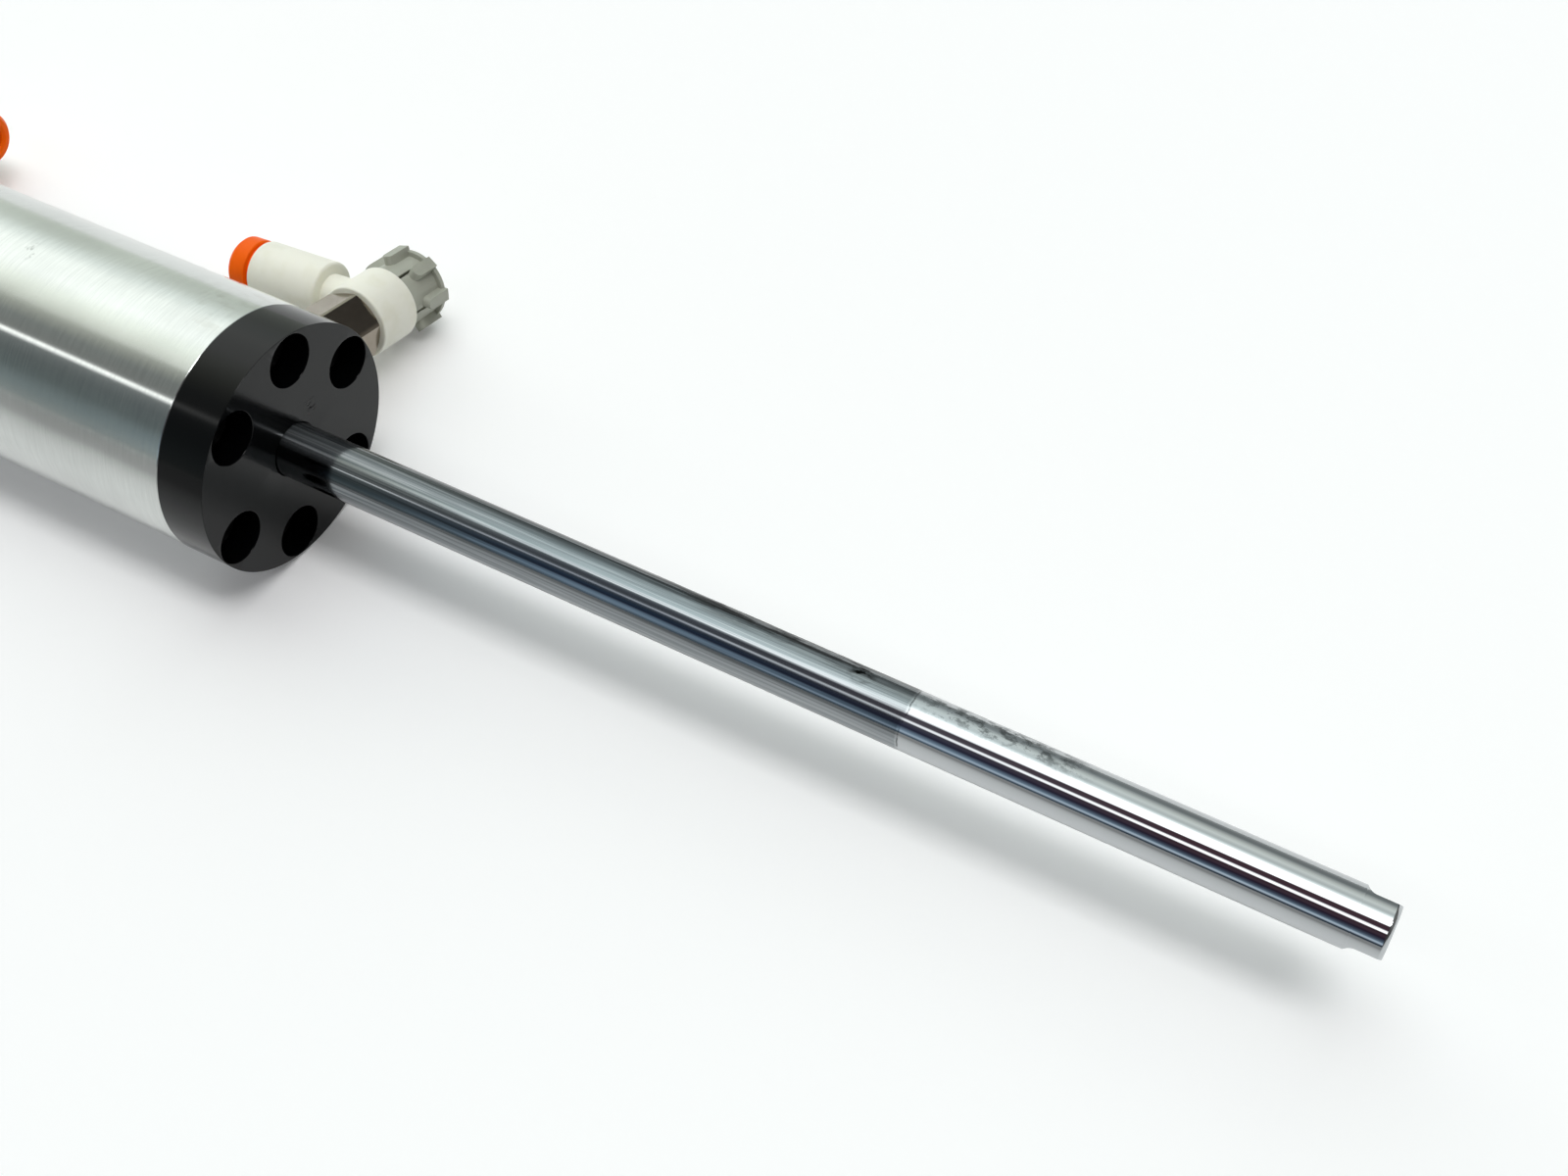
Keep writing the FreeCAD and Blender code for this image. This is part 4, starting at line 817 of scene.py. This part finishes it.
class CYLINDER_OT_rod(bpy.types.Operator):
    """Grind the rod with its two wrench flats and the thread in its tip"""

    bl_idname = "cylinder.rod"
    bl_label = "Grind Rod"

    def execute(self, context):
        sizes = context.scene.cylinder_sizes
        turn = math.radians(FLAT_ANGLE)
        across = ALONG_VALVE * math.cos(turn) + UP_ROUND * math.sin(turn)
        shell = Shell().grid(self.surface(sizes)).turned(axes(ALONG_ROD, across))
        settle(shell.build("rod_ground", MATERIALS["chromed_rod"]), "piston_rod")
        return {"FINISHED"}

    def section(self, radius, flat):
        """One ring: a circle cut by flats at y = +flat and -flat, with columns on the cuts' edges.

        The edge's angle is acos(flat / radius). A flat's points are spaced evenly along it,
        and the arcs between the flats are spaced evenly in angle.
        """
        edge = math.acos(min(1.0, flat / radius))
        share = np.linspace(0, 1, 14, endpoint=False)
        z = (share * 2 - 1) * radius * math.sin(edge)
        y = np.full_like(z, radius * math.cos(edge))
        turn = edge + (math.pi - 2 * edge) * np.linspace(0, 1, 50, endpoint=False)
        y = np.concatenate([y, radius * np.cos(turn)])
        z = np.concatenate([z, radius * np.sin(turn)])
        return np.stack([np.concatenate([y, -y]), np.concatenate([z, -z])], axis=1)

    def surface(self, sizes):
        """Rings from the stub's end, along the rod and over its tip, down the threaded hole."""
        tip = ROD_TIP
        flat_end = tip - FLAT_LENGTH
        wide = ROD_RADIUS * 2
        stations = [
            (ROD_END, 0.0, wide), (ROD_END, ROD_STUB_RADIUS, wide),
            (ROD_SHOULDER, ROD_STUB_RADIUS, wide), (ROD_SHOULDER, ROD_RADIUS, wide)]
        stations += [(x, ROD_RADIUS, wide) for x in np.linspace(ROD_SHOULDER, flat_end - FLAT_RUNOUT, 12)[1:]]
        reach = math.sqrt(FLAT_RUNOUT ** 2 - (FLAT_RUNOUT - (ROD_RADIUS - FLAT_DISTANCE)) ** 2)
        for back in np.linspace(reach, 0, 14):
            rise = FLAT_RUNOUT - math.sqrt(FLAT_RUNOUT ** 2 - back ** 2)
            stations.append((flat_end - back, ROD_RADIUS, FLAT_DISTANCE + rise))
        edge = sizes.edge_round
        stations += [(tip - ROD_CHAMFER - edge, ROD_RADIUS, FLAT_DISTANCE),
                     (tip - ROD_CHAMFER - edge / 2, ROD_RADIUS, FLAT_DISTANCE),
                     (tip - ROD_CHAMFER + edge / 2, ROD_RADIUS - edge / 2, FLAT_DISTANCE),
                     (tip - edge / 2, ROD_RADIUS - ROD_CHAMFER + edge / 2, FLAT_DISTANCE - edge * 0.3),
                     (tip, ROD_RADIUS - ROD_CHAMFER - edge / 2, FLAT_DISTANCE - edge)]
        rings = []
        for x, radius, flat in stations:
            ring = self.section(max(radius, 1e-9), flat)
            rings.append(np.column_stack([np.full(len(ring), x), ring]))
        turn = np.arctan2(ring[:, 1], ring[:, 0])
        mouth = TIP_THREAD_RADIUS + TIP_COUNTERSINK
        hole = [(tip, mouth), (tip - TIP_COUNTERSINK, TIP_THREAD_RADIUS)]
        rows = int(10 * (TIP_THREAD_DEPTH - TIP_COUNTERSINK) / sizes.tip_pitch)
        for x in np.linspace(tip - TIP_COUNTERSINK * 1.1, tip - TIP_THREAD_DEPTH, rows):
            depth = min(1.0, (tip - TIP_COUNTERSINK - x) / sizes.tip_pitch)
            wave = depth * thread_wave(x, turn, sizes.tip_pitch)
            hole.append((x, TIP_THREAD_RADIUS + TIP_THREAD_WAVE * wave))
        hole.append((tip - TIP_THREAD_DEPTH - TIP_THREAD_RADIUS / 2, 0.0))
        for x, radius in hole:
            place = np.full(len(turn), x)
            rings.append(np.column_stack([place, radius * np.cos(turn), radius * np.sin(turn)]))
        return np.array(rings)


class CYLINDER_OT_valve_stems(bpy.types.Operator):
    """Turn the plated stems: hexagon with chamfered corners over a tapered thread"""

    bl_idname = "cylinder.valve_stems"
    bl_label = "Turn Valve Stems"

    def execute(self, context):
        sizes = context.scene.cylinder_sizes
        rings = self.surface(sizes)
        for side in SIDES:
            shell = Shell().grid(rings).turned(axes(ALONG_VALVE, -ALONG_ROD)).moved((PORTS[side], 0.0, 0.0))
            piece = shell.build(side + "_stem_turned", MATERIALS["plated_brass"], sharp=24.0)
            settle(piece, side + "_valve_stem")
        return {"FINISHED"}

    def surface(self, sizes):
        """Rings along the valve's axis.

        A hexagon ring has radius (flats / 2) / cos b, with b the angle from the nearest side's
        middle and the bar's own corner radius as a cap. The chamfer is the cone of radius
        corner - width at the end face, so it meets a side where
        height = chamfer height * (hexagon radius - (corner - width)) / width.
        """
        columns = 96
        turn = angles(columns)
        sector = math.pi / 3
        bearing = (turn - math.radians(HEX_ANGLE)) % sector - sector / 2
        corner = HEX_FLATS / 2 / math.cos(sector / 2)
        hexagon = np.minimum(HEX_FLATS / 2 / np.cos(bearing), corner - HEX_CORNER_WEAR)
        small = corner - HEX_CHAMFER_WIDTH
        meet = HEX_CHAMFER_HEIGHT * (hexagon - small) / HEX_CHAMFER_WIDTH
        flat = np.ones(columns)
        rings = [(STEM_FOOT * flat, flat * 0.0), (STEM_FOOT * flat, flat * (STEM_THREAD_RADIUS - 0.2 * MM))]
        start = STEM_FOOT + 0.2 * MM
        rows = int(12 * (STEM_THREAD_TOP - start) / sizes.port_pitch)
        for height in np.linspace(start, STEM_THREAD_TOP, rows):
            crest = STEM_THREAD_RADIUS + STEM_TAPER * (height - STEM_FOOT)
            depth = STEM_THREAD_DEPTH * (1 - thread_wave(height, turn, sizes.port_pitch))
            rings.append((height * flat, crest - depth))
        rings += [
            (STEM_THREAD_TOP * flat, flat * STEM_NECK_RADIUS), (HEX_BOTTOM * flat, flat * STEM_NECK_RADIUS),
            (HEX_BOTTOM * flat, flat * small), (HEX_BOTTOM + meet, hexagon), (HEX_TOP - meet, hexagon),
            (HEX_TOP * flat, flat * small), (HEX_TOP * flat, flat * STEM_COLLAR_RADIUS),
            (STEM_TOP * flat, flat * STEM_COLLAR_RADIUS), (STEM_TOP * flat, flat * 0.0)]
        x = np.array([ring[0] for ring in rings])
        radius = np.array([ring[1] for ring in rings])
        return np.stack([x, radius * np.cos(turn), radius * np.sin(turn)], axis=-1)


class CYLINDER_OT_release_rings(bpy.types.Operator):
    """Turn the orange release rings"""

    bl_idname = "cylinder.release_rings"
    bl_label = "Make Release Rings"

    def execute(self, context):
        edge = context.scene.cylinder_sizes.moulded_edge
        outline = rounded([
            (COLLET_START, TUBE_RADIUS, edge), (COLLET_START, COLLET_SLEEVE, edge),
            (COLLET_FLANGE, COLLET_SLEEVE, edge), (COLLET_FLANGE, COLLET_RADIUS, 2 * edge),
            (COLLET_END - 0.9 * MM, COLLET_RADIUS, edge), (COLLET_END, COLLET_RADIUS - 0.75 * MM, 3 * edge),
            (COLLET_END, TUBE_RADIUS + 0.6 * MM, edge), (COLLET_END - 0.5 * MM, TUBE_RADIUS, edge)])
        rings = lathed(outline, 128)
        for side in SIDES:
            turn = math.radians(ARM_SWIVEL[side])
            arm = ALONG_ROD * (ARM_SENSE[side] * math.cos(turn)) + UP_ROUND * math.sin(turn)
            centre = ALONG_VALVE * ARM_HEIGHT + ALONG_ROD * PORTS[side]
            shell = Shell().grid(rings, close_rows=True).turned(axes(arm, ALONG_VALVE)).moved(centre[:])
            piece = shell.build(side + "_release_ring", MATERIALS["orange_resin"])
            settle(piece, side + "_release_collet")
        return {"FINISHED"}


class CYLINDER_OT_mouldings(bpy.types.Operator):
    """Break the edges of the moulded elbows and knobs"""

    bl_idname = "cylinder.mouldings"
    bl_label = "Soften Mouldings"

    def execute(self, context):
        edge = context.scene.cylinder_sizes.moulded_edge
        for side in SIDES:
            self.soften(side + "_elbow", side + "_elbow_moulded", "white_resin", edge)
            self.soften(side + "_knob", side + "_knob_moulded", "grey_resin", edge)
        return {"FINISHED"}

    def soften(self, node, name, slot, edge):
        """A merged copy of the node with its flat facets joined and a small radius on its sharp edges."""
        mesh = frame["nodes"][node].data.copy()
        mesh.name = name
        mesh.materials.clear()
        work = bmesh.new()
        work.from_mesh(mesh)
        bmesh.ops.remove_doubles(work, verts=work.verts, dist=1e-6)
        bmesh.ops.dissolve_limit(work, angle_limit=math.radians(1.0), verts=work.verts, edges=work.edges)
        bmesh.ops.recalc_face_normals(work, faces=work.faces)
        work.to_mesh(mesh)
        work.free()
        piece = finish_object(name, mesh, MATERIALS[slot], 32.0, weighted=False)
        bevel = piece.modifiers.new("Edge", "BEVEL")
        bevel.width = edge
        bevel.segments = 2
        bevel.limit_method = "ANGLE"
        bevel.angle_limit = math.radians(38)
        bevel.harden_normals = True
        settle(piece, node)


class CYLINDER_OT_stage(bpy.types.Operator):
    """Lay the white table, light the room and set up the camera"""

    bl_idname = "cylinder.stage"
    bl_label = "Set Stage"

    def execute(self, context):
        self.table()
        self.room(context.scene)
        self.camera(context.scene)
        return {"FINISHED"}

    def table(self):
        """A white table under the cylinder, whose own colour keeps the shadow.

        What the metal mirrors of it has painted shade that grows darker towards the viewer.
        """
        half = TABLE_HALF
        drop = -BODY_RADIUS - TABLE_DROP
        mesh = bpy.data.meshes.new("table")
        mesh.from_pydata([(-half, -half, drop), (half, -half, drop), (half, half, drop), (-half, half, drop)],
                         [], [(0, 1, 2, 3)])
        material = bpy.data.materials.new("White_Card_Table")
        material.use_nodes = True
        tree = material.node_tree
        tree.nodes.clear()
        path = add(tree, "ShaderNodeLightPath")
        seen = path.outputs["Is Camera Ray"]
        for kind in ("Is Glossy Ray", "Is Transmission Ray"):
            ends = {0: seen, 1: path.outputs[kind]}
            seen = add(tree, "ShaderNodeMath", ends, operation="MAXIMUM").outputs[0]
        place = add(tree, "ShaderNodeTexCoord").outputs["Object"]
        y = add(tree, "ShaderNodeSeparateXYZ", {0: place}).outputs["Y"]
        # Painted shade: the table darkens towards the viewer for reflections and bounced light, while the
        # camera sees it evenly white
        mirrored_shade = remap(tree, y, -140 * MM, -18 * MM, 0.3, TABLE_WHITE)
        white = product(tree, path.outputs["Is Camera Ray"], TABLE_WHITE)
        shade = add(tree, "ShaderNodeMath", {0: mirrored_shade, 1: white}, operation="MAXIMUM").outputs[0]
        card = add(tree, "ShaderNodeBsdfDiffuse", {"Color": shade})
        lift = add(tree, "ShaderNodeEmission", {"Strength": product(tree, seen, 0.11)})
        both = add(tree, "ShaderNodeAddShader", {0: card.outputs[0], 1: lift.outputs[0]})
        add(tree, "ShaderNodeOutputMaterial", {"Surface": both.outputs[0]})
        mesh.materials.append(material)
        table = bpy.data.objects.new("table", mesh)
        bpy.context.scene.collection.objects.link(table)

    def room(self, scene):
        """A world of long lamps and dark gaps that all run along the rod, and white to the camera."""
        world = bpy.data.worlds.new("Room")
        scene.world = world
        world.use_nodes = True
        tree = world.node_tree
        tree.nodes.clear()
        way = add(tree, "ShaderNodeTexCoord").outputs["Generated"]
        parts = add(tree, "ShaderNodeSeparateXYZ", {0: way})
        across, up = parts.outputs["Y"], parts.outputs["Z"]
        turn = add(tree, "ShaderNodeMath", {0: up, 1: across}, operation="ARCTAN2").outputs[0]
        share = remap(tree, turn, -math.pi, math.pi)
        lean = parts.outputs["X"]
        mixed = None
        for bands, start, full in ((ROOM_ACROSS, 0.0, 0.0), (ROOM_LEANING, -0.08, -0.36),
                                   (ROOM_FAR_ALONG, -0.44, -0.52), (ROOM_BEYOND_TIP, 0.06, 0.16),
                                   (ROOM_END, 0.48, 0.6)):
            stops = [((degrees + 180) / 360, colour) for degrees, *colour in bands]
            room = add(tree, "ShaderNodeValToRGB", {"Fac": share}, stops=stops).outputs["Color"]
            mixed = tinted(tree, remap(tree, lean, start, full), mixed, room) if mixed else room
        path = add(tree, "ShaderNodeLightPath")
        seen = tinted(tree, path.outputs["Is Camera Ray"], mixed, (1.0, 1.0, 1.0))
        light = add(tree, "ShaderNodeBackground", {"Color": seen, "Strength": 1.0})
        add(tree, "ShaderNodeOutputWorld", {"Surface": light.outputs[0]})
        scene.view_settings.view_transform = "Standard"

    def camera(self, scene):
        """The camera solved from the photograph's circles and edges, as directions in the part's frame."""
        right = Vector((0.87332, 0.48660, -0.02308))
        down = Vector((0.36382, -0.68301, -0.63335))
        forward = Vector((-0.32395, 0.54472, -0.77352))
        place = Vector((179.577, -143.182, 234.133)) * MM
        data = bpy.data.cameras.new("camera")
        data.sensor_width = 36.0
        data.sensor_fit = "HORIZONTAL"
        data.lens = 36.0 * 1935.89 / 1600
        data.shift_y = (548.58 - 600) / 1600
        data.clip_start = 0.005
        data.clip_end = 50.0
        camera = bpy.data.objects.new("camera", data)
        turn = Matrix((right, -down, -forward)).transposed()
        camera.matrix_world = Matrix.Translation(place) @ turn.to_4x4()
        scene.collection.objects.link(camera)
        scene.camera = camera


class CYLINDER_PT_dresser(bpy.types.Panel):
    """Lists the operators and the settings in the 3D view's sidebar"""

    bl_idname = "CYLINDER_PT_dresser"
    bl_label = "Round Body Cylinder"
    bl_space_type = "VIEW_3D"
    bl_region_type = "UI"
    bl_category = "Cylinder"

    def draw(self, context):
        layout = self.layout
        for group in (context.scene.cylinder_sizes, context.scene.cylinder_colours):
            for name in group.bl_rna.properties.keys():
                if name not in ("rna_type", "name"):
                    layout.prop(group, name)
        for operator in OPERATORS:
            layout.operator(operator.bl_idname)


OPERATORS = (
    CYLINDER_OT_stage,
    CYLINDER_OT_finishes,
    CYLINDER_OT_barrel,
    CYLINDER_OT_heads,
    CYLINDER_OT_screws,
    CYLINDER_OT_rod,
    CYLINDER_OT_valve_stems,
    CYLINDER_OT_release_rings,
    CYLINDER_OT_mouldings,
)
CLASSES = (CylinderSizes, CylinderColours) + OPERATORS + (CYLINDER_PT_dresser,)


def register():
    for item in CLASSES:
        bpy.utils.register_class(item)
    bpy.types.Scene.cylinder_sizes = PointerProperty(type=CylinderSizes)
    bpy.types.Scene.cylinder_colours = PointerProperty(type=CylinderColours)


def unregister():
    del bpy.types.Scene.cylinder_colours
    del bpy.types.Scene.cylinder_sizes
    for item in reversed(CLASSES):
        bpy.utils.unregister_class(item)


def main():
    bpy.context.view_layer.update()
    register()
    for operator in OPERATORS:
        group, name = operator.bl_idname.split(".")
        getattr(getattr(bpy.ops, group), name)()


if __name__ == "__main__":
    main()
